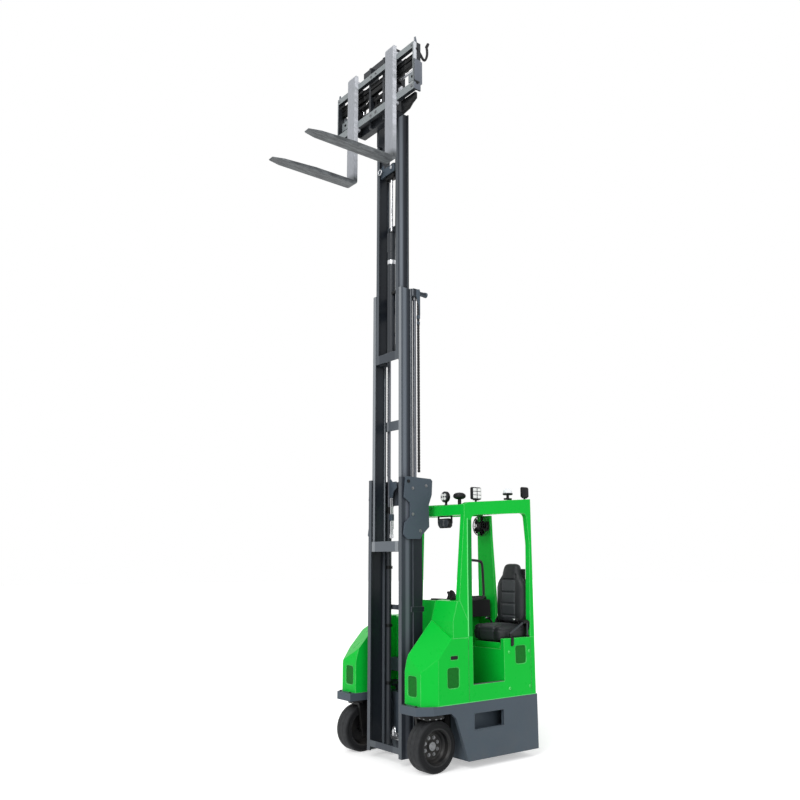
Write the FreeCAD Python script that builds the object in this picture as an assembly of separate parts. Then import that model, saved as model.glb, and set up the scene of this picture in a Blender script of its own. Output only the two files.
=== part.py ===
import FreeCAD, Part
import math
import os

os.makedirs("parts", exist_ok=True)
V = FreeCAD.Vector

# Millimetres. The forks point along -Y, the driver's left is +X, up is +Z, the ground is at zero.
HALF_WIDTH = 645
REAR_Y = 1168
RUNNING = 0.05
SLIDE_GAP = 0.3

# Chassis
CHASSIS_BOTTOM = 65
CHASSIS_TOP = 527
DECK_THICK = 67
DECK_FRONT_Y = -173
DECK_CHAMFER = 75
CORNER_RUN = 127
PLATE = 20
SKIRT = 30
SKIRT_FRONT_Y = 333
ARCH_TOP_Y = 147
LUG_IN_X = 262
LUG_OUT_X = 284
NOSE_Y = 225
POCKET_Y = (402, 743)
POCKET_Z = (308, 435)

# Wheels: two steered at the front, one steered and driven at the back
WHEEL_R = 203
WHEEL_HALF_W = 80
BEAD_R = 148
RIM_WALL = 10
DISC_THICK = 16
HUB_R = 41
AXLE_R = 30
FRONT_WHEEL_INSET = 132
FRONT_WHEEL_X = HALF_WIDTH - FRONT_WHEEL_INSET
FRONT_WHEEL_Y = 37
KINGPIN_R = 40
SLEW_R = 115
TYRE_GAP = 7
REAR_WHEEL_Y = 847
REAR_WHEEL_HALF_W = 70
REAR_OPENING_R = 235

# Body
FENDER_IN_X = 360
FENDER_FRONT_Y = -117
FENDER_TOP_Z = 1190
FENDER_SHOULDER_Z = 1052
BODY_FRONT_Y = 347
BODY_REAR_Y = 1100
WALL = 40
SHEET = 20
CAB_RIGHT_X = -50
DOOR_FRONT_Y = 397
DOOR_REAR_Y = 767
SILL_Z = 665
FLOOR_Z = 600
SEAT_BOX_Z = 930
REAR_PANEL_Z = 1020
DASH_Z = 1345
DASH_THICK = 30
HOOD_Z = 1180
VENT_DEPTH = 9

# Overhead guard
POST_W = 50
ROOF_UNDER_Z = 2090
ROOF_TOP_Z = 2200
ROOF_RISE = 62
GUARD_FRONT_Y = 320
GUARD_REAR_Y = 1154
BEAM_DEPTH = 80
WINDOW_R = 50
SLAT_W = 22
SLAT_PITCH = 80
BEACON_R = 44
BEACON_Y = 905
BEACON_Z = 2295

# Mast: three nested stages, drawn raised
MAST_PIVOT = (60, 150)
PIVOT_R = 25
OUTER_WEB_X = (236, 248)
OUTER_LIP_X = 206
OUTER_Y = (-65, 105)
OUTER_Z = (63, 2430)
OUTER_FLANGE = 14
OUTER_BARS_Z = ((63, 150), (1256, 1300), (2200, 2420))
GUARD_STRIP = 9
MIDDLE_WEB_X = (196, 206)
MIDDLE_LIP_X = (180, 222)
INNER_WEB_X = (149, 159)
INNER_LIP_X = (134, 174)
STAGE_Y = (-45, 85)
STAGE_FLANGE = 12
MIDDLE_Z = (1775, 4220)
MIDDLE_BARS_Z = (1775, 2900, 4010)
MIDDLE_BAR_H = 90
INNER_Z = (3530, 6040)
BAR_GAP = 6
BAR_THICK = 12
PAD_X = 258
PLATE_THICK = 14
APRON_Z = (98, 150)

# Lift cylinders behind the outer stage
LIFT_X = 195
LIFT_Y = 131
LIFT_TUBE_R = 25
LIFT_BORE_R = 20
LIFT_ROD_R = 16
LIFT_TUBE_Z = (100, 2190)
LIFT_ROD_BOTTOM_Z = 1900
GLAND = 60
HOSE_X = 231
HOSE_Y = 150
HOSE_R = 9

# Free-lift cylinder in the inner stage
FREE_X = -16
FREE_Y = 22
FREE_R = 42
FREE_Z = (3620, 4830)
FREE_NECK_Z = (4515, 4550, 4640)
TWIN_X = 72
TWIN_R = 18
TWIN_TOP_Z = 4760
FEED_TOP_Z = 5860
INNER_BARS_Z = (3580, 4860, 5900)
INNER_BAR_H = 80

# Carriage and forks
CARRIAGE_HALF_W = 640
CARRIAGE_FRONT_Y = -225
CARRIAGE_BAR_DEPTH = 40
FORK_UNDER_Z = 5370
BAR_TOP_RISE = 1110
BAR_LOW_RISE = 620
ARM_RISE = 80
NECK_H = 230
SHANK_RISE = 85
BAR_TOP_Z = FORK_UNDER_Z + BAR_TOP_RISE
BAR_TOP_H = 62
BAR_LOW_Z = FORK_UNDER_Z + BAR_LOW_RISE
BAR_LOW_H = 75
END_DEPTH = 85
END_THICK = 14
SHIFT_ROD_R = 17
SHIFT_ROD_Y = -163
SHIFT_ROD_DROPS = (105, 170)
FRAME_X = 333
FRAME_REAR_Y = -83
ARM_X = (100, 128)
ARM_Y = (-27, 57)
ARM_Z = (FORK_UNDER_Z + ARM_RISE, BAR_LOW_Z + 10)
FORK_THICK = 42
FORK_W = 120
FORK_X = 320
FORK_TIP_Y = -1168
SHANK_TOP_Z = BAR_TOP_Z + SHANK_RISE
SHANK_THICK = 47
HEEL_R = 45

# Tilt cylinders
TILT_X = 285
TILT_ROD_EYE = (150, 610)
TILT_BASE_EYE = (318, 590)
TILT_PIN_R = 12
TILT_EYE_R = 24
TILT_EYE_HALF = 10
TILT_BARREL_R = 30
TILT_ROD_R = 15
EAR = 8

# Seat and controls
SEAT_HALF_W = 172
CUSHION_H = 145
BACK_H = 540
STEERING_WHEEL = (330, 510, 1200)
CONSOLE_Z = 1335


def block(x0, x1, y0, y1, z0, z1):
    return Part.makeBox(x1 - x0, y1 - y0, z1 - z0, V(x0, y0, z0))


def pair(x0, x1, y0, y1, z0, z1):
    return [block(x0, x1, y0, y1, z0, z1), block(-x1, -x0, y0, y1, z0, z1)]


def rod(r, p0, p1):
    a = V(*p0)
    d = V(*p1) - a
    return Part.makeCylinder(r, d.Length, a, d)


def rod_x(r, x0, x1, y, z):
    return rod(r, (x0, y, z), (x1, y, z))


def rod_z(r, x, y, z0, z1):
    return rod(r, (x, y, z0), (x, y, z1))


def side_cut(points, x0, x1):
    wire = Part.makePolygon([V(x0, y, z) for y, z in points + points[:1]])
    return Part.Face(wire).extrude(V(x1 - x0, 0, 0))


def plan_cut(points, z0, z1):
    wire = Part.makePolygon([V(x, y, z0) for x, y in points + points[:1]])
    return Part.Face(wire).extrude(V(0, 0, z1 - z0))


def front_cut(points, y0, y1):
    wire = Part.makePolygon([V(x, y0, z) for x, z in points + points[:1]])
    return Part.Face(wire).extrude(V(0, y1 - y0, 0))


def mirrored(shape):
    return shape.mirror(V(0, 0, 0), V(1, 0, 0))


def both(shape):
    return [shape, mirrored(shape)]


def joined(shapes):
    return shapes[0].multiFuse(shapes[1:]).removeSplitter()


def rounded(shape, r, chosen):
    return shape.makeFillet(r, [e for e in shape.Edges if chosen(e)])


def along_x(e):
    return e.BoundBox.YLength < 0.01 and e.BoundBox.ZLength < 0.01


def along_y(e):
    return e.BoundBox.XLength < 0.01 and e.BoundBox.ZLength < 0.01


def along_z(e):
    return e.BoundBox.XLength < 0.01 and e.BoundBox.YLength < 0.01


def bent_tube(points, r, bend):
    corners = [V(*p) for p in points]
    edges = []
    start = corners[0]
    for a, b, c in zip(corners, corners[1:], corners[2:]):
        u, w = (a - b).normalize(), (c - b).normalize()
        half = math.acos(u.dot(w)) / 2
        p, q = b + u * (bend / math.tan(half)), b + w * (bend / math.tan(half))
        mid = b + (u + w).normalize() * (bend / math.sin(half) - bend)
        edges += [Part.LineSegment(start, p).toShape(), Part.Arc(p, mid, q).toShape()]
        start = q
    edges += [Part.LineSegment(start, corners[-1]).toShape()]
    ring = Part.Wire(Part.makeCircle(r, corners[0], corners[1] - corners[0]))
    return Part.Wire(edges).makePipeShell([ring], True, False, 2)


def save(name, shape):
    shape.exportStep("parts/" + name + ".step")


def save_pair(name, shape):
    save("left_" + name, shape)
    save("right_" + name, mirrored(shape))


# Chassis: skirts, plates, front walls, mast lugs and the decks over the front wheels
skirt_in_x = HALF_WIDTH - SKIRT
deck_under_z = CHASSIS_TOP - DECK_THICK
skirt = side_cut([(SKIRT_FRONT_Y, CHASSIS_BOTTOM), (REAR_Y, CHASSIS_BOTTOM), (REAR_Y, CHASSIS_TOP),
                  (ARCH_TOP_Y, CHASSIS_TOP), (ARCH_TOP_Y, deck_under_z), (ARCH_TOP_Y + 54, deck_under_z - 42)],
                 skirt_in_x, HALF_WIDTH)
skirt = skirt.cut(block(skirt_in_x - 5, HALF_WIDTH + 5, *POCKET_Y, *POCKET_Z))
deck = plan_cut([(LUG_OUT_X, BODY_FRONT_Y), (LUG_OUT_X, 175), (FENDER_IN_X, 130), (FENDER_IN_X, DECK_FRONT_Y),
                 (HALF_WIDTH - DECK_CHAMFER, DECK_FRONT_Y), (HALF_WIDTH, DECK_FRONT_Y + CORNER_RUN),
                 (HALF_WIDTH, BODY_FRONT_Y)], deck_under_z, CHASSIS_TOP)
deck = deck.cut(rod_z(KINGPIN_R + RUNNING, FRONT_WHEEL_X, FRONT_WHEEL_Y, deck_under_z - 5, CHASSIS_TOP + 5))
lug = side_cut([(15, 110), (60, 100), (BODY_FRONT_Y, CHASSIS_BOTTOM), (BODY_FRONT_Y, CHASSIS_TOP),
                (150, CHASSIS_TOP), (110, 400), (100, 260), (15, 190)], LUG_IN_X, LUG_OUT_X)
lug = lug.cut(rod_x(PIVOT_R + RUNNING, LUG_IN_X - 5, LUG_OUT_X + 5, *MAST_PIVOT))
front_wall = block(LUG_OUT_X, skirt_in_x, SKIRT_FRONT_Y, SKIRT_FRONT_Y + PLATE, CHASSIS_BOTTOM, CHASSIS_TOP)
chassis_bits = both(skirt) + both(deck) + both(lug) + both(front_wall)
chassis_bits += [block(-skirt_in_x, skirt_in_x, SKIRT_FRONT_Y, REAR_Y, CHASSIS_BOTTOM, CHASSIS_BOTTOM + PLATE)]
chassis_bits += [block(-LUG_IN_X, LUG_IN_X, NOSE_Y, NOSE_Y + PLATE, CHASSIS_BOTTOM, CHASSIS_TOP)]
chassis_bits += [block(-skirt_in_x, skirt_in_x, REAR_Y - SKIRT, REAR_Y, CHASSIS_BOTTOM, CHASSIS_TOP)]
chassis_bits += [block(-skirt_in_x, skirt_in_x, NOSE_Y + PLATE, REAR_Y, CHASSIS_TOP - 2 * PLATE, CHASSIS_TOP)]
rail_x = (HALF_WIDTH - 145, HALF_WIDTH - 130)
chassis_bits += pair(*rail_x, SKIRT_FRONT_Y, REAR_Y - SKIRT, CHASSIS_BOTTOM, CHASSIS_TOP)
chassis = joined(chassis_bits)
chassis = chassis.cut(rod_z(REAR_OPENING_R, 0, REAR_WHEEL_Y, CHASSIS_BOTTOM - 5, CHASSIS_BOTTOM + PLATE + 5))
chassis = chassis.cut(rod_z(KINGPIN_R + RUNNING, 0, REAR_WHEEL_Y, CHASSIS_TOP - 2 * PLATE - 5, CHASSIS_TOP + 5))
save("chassis", chassis)
save("front_crossbeam", block(-FENDER_IN_X, FENDER_IN_X, BODY_FRONT_Y - 77, BODY_FRONT_Y, 700, 815))


# Front fenders: faceted closed blocks with sunk vents in the front and outer faces
def sunk_side(y0, y1, z0, z1, x_face, r):
    return rounded(block(x_face - VENT_DEPTH, x_face + 5, y0, y1, z0, z1), r, along_x)


def sunk_front(x0, x1, z0, z1, y_face, r):
    return rounded(block(x0, x1, y_face - 5, y_face + VENT_DEPTH, z0, z1), r, along_y)


fender_side = [(FENDER_FRONT_Y, CHASSIS_TOP), (FENDER_FRONT_Y, 787), (FENDER_FRONT_Y + 18, 867),
               (FENDER_FRONT_Y + 34, 915), (177, FENDER_TOP_Z), (BODY_FRONT_Y, FENDER_TOP_Z), (BODY_FRONT_Y, CHASSIS_TOP)]
fender = side_cut(fender_side, FENDER_IN_X, HALF_WIDTH)
fender_roof = front_cut([(FENDER_IN_X, CHASSIS_TOP), (HALF_WIDTH, CHASSIS_TOP), (HALF_WIDTH, FENDER_SHOULDER_Z),
                         (FENDER_IN_X, FENDER_TOP_Z)], FENDER_FRONT_Y - 10, BODY_FRONT_Y + 10)
fender = fender.common(fender_roof)
fender_plan = plan_cut([(FENDER_IN_X, BODY_FRONT_Y), (FENDER_IN_X, FENDER_FRONT_Y),
                        (HALF_WIDTH - DECK_CHAMFER, FENDER_FRONT_Y), (HALF_WIDTH, FENDER_FRONT_Y + CORNER_RUN),
                        (HALF_WIDTH, BODY_FRONT_Y)], CHASSIS_TOP, FENDER_TOP_Z + 10)
fender = fender.common(fender_plan)
low_in = V(FENDER_IN_X, FENDER_FRONT_Y + 34, 915)
high_in = V(FENDER_IN_X, 177, FENDER_TOP_Z)
out_step = V(285, 0, -115)
rise = (high_in - low_in) * 0.5
facet = [low_in - rise - out_step * 0.2, low_in - rise + out_step * 1.3, high_in + rise + out_step * 1.3,
         high_in + rise - out_step * 0.2]
fender = fender.cut(Part.Face(Part.makePolygon(facet + facet[:1])).extrude(V(0, 0, 800)))
fender = rounded(fender, 12, lambda e: e.BoundBox.ZMin > CHASSIS_TOP + 1 and e.BoundBox.ZMax > 780
                 and e.BoundBox.YMax < BODY_FRONT_Y - 1 and e.BoundBox.XMax > FENDER_IN_X + 1)
fender = fender.cut(sunk_side(108, 240, 655, 820, HALF_WIDTH, 25))
fender = fender.cut(sunk_side(144, 231, 880, 914, HALF_WIDTH, 12))
fender = fender.cut(sunk_front(398, 518, 592, 758, FENDER_FRONT_Y, 25))
save_pair("fender", fender)

# Cab tub on the left: side wall with the doorway, front wall, floor, inner wall and seat box
wall_in_x = HALF_WIDTH - WALL
post_in_x = HALF_WIDTH - POST_W
front_wall_rear = BODY_FRONT_Y + DASH_THICK
inner_wall_x = CAB_RIGHT_X + SHEET
left_wall = side_cut([(BODY_FRONT_Y, CHASSIS_TOP), (BODY_REAR_Y, CHASSIS_TOP), (BODY_REAR_Y, REAR_PANEL_Z),
                      (DOOR_REAR_Y, REAR_PANEL_Z), (DOOR_REAR_Y, SILL_Z), (DOOR_FRONT_Y, SILL_Z),
                      (DOOR_FRONT_Y, FENDER_TOP_Z), (BODY_FRONT_Y, FENDER_TOP_Z)], wall_in_x, HALF_WIDTH)
left_wall = left_wall.cut(sunk_side(906, 1042, 797, 955, HALF_WIDTH, 25))
tub = [left_wall]
tub += [block(CAB_RIGHT_X, wall_in_x, BODY_FRONT_Y, front_wall_rear, CHASSIS_TOP, FENDER_TOP_Z)]
tub += [block(CAB_RIGHT_X, post_in_x, BODY_FRONT_Y, front_wall_rear, FENDER_TOP_Z, DASH_Z)]
tub += [block(CAB_RIGHT_X, inner_wall_x, front_wall_rear, BODY_REAR_Y, CHASSIS_TOP, HOOD_Z)]
tub += [block(inner_wall_x, wall_in_x, front_wall_rear, DOOR_REAR_Y, CHASSIS_TOP, FLOOR_Z)]
tub += [block(inner_wall_x, wall_in_x, DOOR_REAR_Y, BODY_REAR_Y, CHASSIS_TOP, SEAT_BOX_Z)]
save("cab_tub", joined(tub))

# Machinery hood on the right, the rear body and the cowl between fender and dash
hood = block(-HALF_WIDTH, CAB_RIGHT_X, BODY_FRONT_Y, BODY_REAR_Y, CHASSIS_TOP, HOOD_Z)
hood = rounded(hood, 30, lambda e: e.BoundBox.ZMin > HOOD_Z - 1 and e.BoundBox.XMin < CAB_RIGHT_X - 1
               and e.BoundBox.YMin < BODY_REAR_Y - 1)
save("right_hood", hood)
rear_body = block(-HALF_WIDTH, HALF_WIDTH, BODY_REAR_Y, REAR_Y, CHASSIS_TOP, REAR_PANEL_Z)
save("rear_body", rounded(rear_body, 25, lambda e: along_z(e) and e.BoundBox.YMin > REAR_Y - 1))
cowl = side_cut([(177, FENDER_TOP_Z), (227, DASH_Z + 10), (300, DASH_Z + 15), (BODY_FRONT_Y, DASH_Z),
                 (BODY_FRONT_Y, FENDER_TOP_Z)], FENDER_IN_X, post_in_x)
cowl_out = side_cut([(177, FENDER_TOP_Z), (227, DASH_Z + 10), (256, DASH_Z + 15), (BODY_FRONT_Y, FENDER_TOP_Z)],
                    post_in_x, HALF_WIDTH)
cowl_wedge = front_cut([(FENDER_IN_X, FENDER_TOP_Z), (HALF_WIDTH, FENDER_SHOULDER_Z),
                        (HALF_WIDTH, FENDER_TOP_Z)], 177, BODY_FRONT_Y)
save("cowl", joined([cowl, cowl_out, cowl_wedge]))

# Overhead guard: posts, roof rails, cross beams and slats
roof_rear_z = ROOF_TOP_Z + ROOF_RISE
beam_rear_y = GUARD_FRONT_Y + BEAM_DEPTH
rear_beam_y = GUARD_REAR_Y - BEAM_DEPTH
right_post_x = CAB_RIGHT_X + POST_W
front_post = side_cut([(BODY_FRONT_Y, FENDER_TOP_Z), (DOOR_FRONT_Y, FENDER_TOP_Z), (404, ROOF_UNDER_Z),
                       (GUARD_FRONT_Y, ROOF_UNDER_Z), (256, 1400), (256, DASH_Z + 15)], post_in_x, HALF_WIDTH)
front_post_right = side_cut([(BODY_FRONT_Y, DASH_Z), (front_wall_rear, DASH_Z), (404, ROOF_UNDER_Z),
                             (330, ROOF_UNDER_Z)], CAB_RIGHT_X, right_post_x)
rear_post = side_cut([(BODY_REAR_Y, REAR_PANEL_Z), (GUARD_REAR_Y, REAR_PANEL_Z), (GUARD_REAR_Y, 2130), (1096, 2130),
                      (1124, 1840)], post_in_x, HALF_WIDTH)
rear_plate = front_cut([(CAB_RIGHT_X, REAR_PANEL_Z), (180, REAR_PANEL_Z), (180, 1350), (140, 1900), (130, 2130),
                        (CAB_RIGHT_X, 2130)], 1124, GUARD_REAR_Y - 4)
rail_side = [(GUARD_FRONT_Y, ROOF_UNDER_Z), (404, ROOF_UNDER_Z), (1096, 2130), (GUARD_REAR_Y, 2130),
             (GUARD_REAR_Y, roof_rear_z), (370, ROOF_TOP_Z), (GUARD_FRONT_Y, ROOF_TOP_Z - 20)]
left_frame = joined([front_post, rear_post, side_cut(rail_side, post_in_x, HALF_WIDTH)])
left_frame = rounded(left_frame, WINDOW_R, lambda e: along_x(e) and 400 < e.BoundBox.YMin < 1100
                     and ROOF_UNDER_Z - 5 < e.BoundBox.ZMin < 2135)
guard = [left_frame, front_post_right, rear_plate, side_cut(rail_side, CAB_RIGHT_X, right_post_x)]
guard += [block(right_post_x, post_in_x, GUARD_FRONT_Y, beam_rear_y, ROOF_UNDER_Z, ROOF_TOP_Z - 20)]
guard += [block(right_post_x, post_in_x, rear_beam_y, GUARD_REAR_Y, 2140, roof_rear_z - 20)]
save("guard_frame", joined(guard))
slat_side = [(beam_rear_y, 2120), (rear_beam_y, 2160), (rear_beam_y, 2200), (beam_rear_y, 2160)]
slats = []
slat_x = right_post_x + 60
while slat_x + SLAT_W < post_in_x - 20:
    slats.append(side_cut(slat_side, slat_x, slat_x + SLAT_W))
    slat_x += SLAT_PITCH
save("roof_slats", Part.makeCompound(slats))

# Lamps: black housings on the roof, a beacon and one floodlight under the front beam
front_top_z = ROOF_TOP_Z - 20
rail_mid_x = HALF_WIDTH - POST_W / 2
beacon_x = rail_mid_x - 20
lamps = [joined([rod(50, (348, 345, 2262), (348, 395, 2262)), block(338, 358, 362, 378, front_top_z, 2215)])]
lamps += [rod_z(60, HALF_WIDTH - 125, 380, front_top_z, ROOF_TOP_Z + 30)]
corner_lamp = rounded(block(rail_mid_x - 24, rail_mid_x + 20, 425, 545, 2225, 2340), 18, along_x)
lamps += [joined([corner_lamp, block(rail_mid_x - 8, rail_mid_x + 6, 478, 492, 2209.9, 2226)])]
beacon_foot = block(beacon_x - 20, beacon_x + 20, 870, 940, 2245.4, 2262)
lamps += [joined([beacon_foot, rod_z(10, beacon_x, BEACON_Y, 2262, BEACON_Z)])]
rear_lamp = rounded(block(rail_mid_x - 24, rail_mid_x + 20, 1060, 1152, 2272, 2375), 18, along_x)
lamps += [joined([rear_lamp, block(rail_mid_x - 8, rail_mid_x + 6, 1100, 1114, 2259.1, 2273)])]
save("roof_lamps", Part.makeCompound(lamps))
flood = rounded(block(275, 425, 325, 395, 1975, 2070), 15, along_y)
save("floodlight", joined([flood, block(343, 357, 352, 368, 2068, ROOF_UNDER_Z)]))
beacon_ball = Part.makeSphere(BEACON_R, V(beacon_x, BEACON_Y, BEACON_Z + 20))
above_foot = block(beacon_x - 60, beacon_x + 60, BEACON_Y - 100, BEACON_Y + 100, BEACON_Z, BEACON_Z + 100)
save("beacon", beacon_ball.common(above_foot))
save("cab_fan", joined([rod(100, (80, 1030, 2030), (80, 1085, 2030)), block(60, 100, 1085, 1124, 2010, 2050)]))

# Seat, console, controls and rails in the cab
seat_x = (225, wall_in_x - 5)
seat_z = SEAT_BOX_Z + 55
seat_mid = post_in_x - 5 - SEAT_HALF_W
back_z = seat_z + CUSHION_H + SLIDE_GAP
seat_foot = block(seat_x[0] + 25, seat_x[1] - 25, DOOR_REAR_Y + 23, 1080, SEAT_BOX_Z, seat_z)
back_bracket = block(seat_mid - 70, seat_mid + 70, BODY_REAR_Y + 1, BODY_REAR_Y + 13, REAR_PANEL_Z, back_z)
save("seat_base", Part.makeCompound([seat_foot, back_bracket]))
cushion = block(*seat_x, DOOR_REAR_Y + 3, BODY_REAR_Y - 8, seat_z, seat_z + CUSHION_H)
save("seat_cushion", rounded(cushion, 28, lambda e: e.BoundBox.ZMin > seat_z + 10 or along_z(e)))
back_outline = [(-160, 0), (160, 0), (SEAT_HALF_W, 170), (162, 350), (130, 470), (95, BACK_H), (-45, BACK_H), (-95, 470),
                (-155, 350), (-SEAT_HALF_W, 170)]
back = side_cut([(1056, back_z), (1140, back_z), (1160, back_z + BACK_H), (1072, back_z + BACK_H)], seat_mid - 200,
                seat_mid + 200)
back = back.common(front_cut([(seat_mid + x, back_z + z) for x, z in back_outline], 1000, 1200))
save("seat_back", rounded(back, 25, lambda e: e.BoundBox.YLength < 40))
console = block(CAB_RIGHT_X, 150, 500, 1085, HOOD_Z, CONSOLE_Z)
save("console", rounded(console, 12, lambda e: e.BoundBox.ZMin > CONSOLE_Z - 5))
levers = []
for y in (600, 660, 720):
    levers.append(joined([rod_z(6, 100, y, CONSOLE_Z, CONSOLE_Z + 65), Part.makeSphere(13, V(100, y, CONSOLE_Z + 70))]))
save("levers", Part.makeCompound(levers))
steer_x, steer_y, steer_z = STEERING_WHEEL
wheel_bits = [Part.makeTorus(120, 12, V(*STEERING_WHEEL), V(0, -0.5, 1))]
wheel_bits += [rod_x(9, steer_x - 116, steer_x + 116, steer_y, steer_z)]
wheel_bits += [rod(18, (steer_x, front_wall_rear + 12, steer_z - 50), STEERING_WHEEL)]
wheel_bits += [block(steer_x - 30, steer_x + 30, front_wall_rear, front_wall_rear + 15, steer_z - 100, steer_z - 10)]
save("steering_wheel", joined(wheel_bits))
grab_points = [(401.9, 1700), (545, 1690), (560, 1375), (399.3, 1365)]
save("grab_rail", bent_tube([(rail_mid_x, y, z) for y, z in grab_points], 8, 25))
arm_points = [(1085, 1020.2), (1085, 1150), (1040, 1150), (870, 1062), (870, 1020.2)]
save("arm_rail", bent_tube([(HALF_WIDTH - WALL / 2, y, z) for y, z in arm_points], 9, 15))
mirror_x = FENDER_IN_X + 147
mirror = rounded(block(mirror_x - 37, mirror_x + 38, 296, 322, 1375, 1440), 12, along_y)
mirror_rod = rod_z(7, mirror_x, 290, DASH_Z + 15.2, 1385)
save("dash_mirror", joined([mirror, mirror_rod, block(mirror_x - 7, mirror_x + 7, 286, 300, 1378, 1392)]))


# Mast stages
def channel(web, lips, depth, flange, height):
    parts = [block(web[0], web[1], depth[0], depth[1], *height)]
    parts += [block(lips[0], lips[1], depth[0], depth[0] + flange, *height)]
    parts += [block(lips[0], lips[1], depth[1] - flange, depth[1], *height)]
    return joined(parts)


def guide(x0, x1, depth, flange, z):
    y_mid = (depth[0] + depth[1]) / 2
    r = (depth[1] - depth[0]) / 2 - flange - SLIDE_GAP
    return [rod_x(20, x0, x1, y_mid, z), rod_x(r, x1 - 12, x1, y_mid, z)]


front_y, rear_y = STAGE_Y
bar_rear_y = LIFT_Y + LIFT_TUBE_R + 8
bar_back_y = bar_rear_y + 16
outer_bits = both(channel(OUTER_WEB_X, (OUTER_LIP_X, OUTER_WEB_X[1]), OUTER_Y, OUTER_FLANGE, OUTER_Z))
outer_bits += [block(-OUTER_LIP_X, OUTER_LIP_X, OUTER_Y[0] + 2, OUTER_Y[0] + OUTER_FLANGE, *APRON_Z)]
outer_bits += pair(OUTER_WEB_X[1] - 1, OUTER_WEB_X[1] + GUARD_STRIP, 60, bar_rear_y, *OUTER_Z)
for z0, z1 in OUTER_BARS_Z:
    outer_bits += [block(-PAD_X, PAD_X, bar_rear_y, bar_back_y, z0, z1)]
    outer_bits += pair(OUTER_WEB_X[1], PAD_X, 40, bar_back_y, z0, z1)
outer_bits += both(rod_x(PIVOT_R, OUTER_WEB_X[1], LUG_OUT_X, *MAST_PIVOT))
outer_bits += pair(OUTER_WEB_X[1], LUG_IN_X, 40, 175, 580, 640)
outer_bits += both(rod_x(TILT_PIN_R, LUG_IN_X, TILT_X + 20, *TILT_ROD_EYE))
save("outer_mast", joined(outer_bits))

plate_side = [(-34, 2434), (255, 2425), (273, 2408), (266, 2281), (230, 2189), (234, 1992), (153, 1919),
              (130, 1884), (-18, 1881), (-57, 1923), (-44, 2020), (16, 2074), (16, 2197), (-51, 2247)]
side_plate = side_cut(plate_side, PAD_X, PAD_X + PLATE_THICK)
side_plate = joined([side_plate, rod_x(13, PAD_X + PLATE_THICK, PAD_X + PLATE_THICK + 8, -5, 2390)])
save("mast_side_plates", Part.makeCompound(both(side_plate)))

middle_bits = both(channel(MIDDLE_WEB_X, MIDDLE_LIP_X, STAGE_Y, STAGE_FLANGE, MIDDLE_Z))
for piece in guide(MIDDLE_WEB_X[1], OUTER_WEB_X[0] - 2, OUTER_Y, OUTER_FLANGE, MIDDLE_Z[0] + 75):
    middle_bits += both(piece)
low_bar = (MIDDLE_Z[0], MIDDLE_Z[0] + MIDDLE_BAR_H)
middle_bits += [block(-200, 200, front_y - BAR_GAP - BAR_THICK, front_y - BAR_GAP, *low_bar)]
middle_bits += pair(MIDDLE_LIP_X[0], 200, front_y - BAR_GAP, front_y, *low_bar)
for z in MIDDLE_BARS_Z:
    middle_bits += [block(-200, 200, rear_y + BAR_GAP, rear_y + BAR_GAP + BAR_THICK, z, z + MIDDLE_BAR_H)]
    middle_bits += pair(MIDDLE_LIP_X[0], 200, rear_y, rear_y + BAR_GAP, z, z + MIDDLE_BAR_H)
head_z = MIDDLE_Z[1] - 70
middle_bits += [block(-240, 240, rear_y + BAR_GAP, LIFT_Y + 30, head_z, MIDDLE_Z[1])]
middle_bits += pair(MIDDLE_LIP_X[0], 240, rear_y, rear_y + BAR_GAP, head_z, MIDDLE_Z[1])
middle_bits += both(rod(22, (218, LIFT_Y + 25, head_z + 38), (218, LIFT_Y + 125, head_z + 38)))
save("middle_mast", joined(middle_bits))

inner_bits = both(channel(INNER_WEB_X, INNER_LIP_X, STAGE_Y, STAGE_FLANGE, INNER_Z))
for piece in guide(INNER_WEB_X[1], MIDDLE_WEB_X[0] - 2, STAGE_Y, STAGE_FLANGE, INNER_Z[0] + 55):
    inner_bits += both(piece)
inner_in_x = INNER_WEB_X[0]
cross_y = (rear_y - STAGE_FLANGE + 0.5, rear_y - 0.5)
inner_bits += [block(-inner_in_x, inner_in_x, *cross_y, z, z + INNER_BAR_H) for z in INNER_BARS_Z]
inner_bits += [block(-inner_in_x, inner_in_x, front_y, front_y + STAGE_FLANGE, INNER_Z[0], FREE_Z[0] - 8)]
inner_bits += [block(-60, TWIN_X + TWIN_R, front_y + STAGE_FLANGE, cross_y[0], FREE_Z[0] - 20, FREE_Z[0])]
save("inner_mast", joined(inner_bits))

# Lift cylinders: tube with gland on the outer stage, rod under the middle stage's head
tube = rod_z(LIFT_TUBE_R, LIFT_X, LIFT_Y, *LIFT_TUBE_Z)
tube = tube.cut(rod_z(LIFT_BORE_R, LIFT_X, LIFT_Y, LIFT_TUBE_Z[0] + 5, LIFT_TUBE_Z[1] - GLAND))
tube = tube.cut(rod_z(LIFT_ROD_R + SLIDE_GAP, LIFT_X, LIFT_Y, LIFT_TUBE_Z[0] + 5, LIFT_TUBE_Z[1] + 5))
foot = block(LIFT_X - 28, LIFT_X + 28, OUTER_Y[1], bar_rear_y, OUTER_Z[0], LIFT_TUBE_Z[0])
save_pair("lift_barrel", joined([tube, foot]))
save("lift_rods", Part.makeCompound(both(rod_z(LIFT_ROD_R, LIFT_X, LIFT_Y, LIFT_ROD_BOTTOM_Z, head_z))))
save("mast_hoses", Part.makeCompound(both(rod_z(HOSE_R, HOSE_X, HOSE_Y, OUTER_Z[1] + 50, head_z))))

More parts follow.
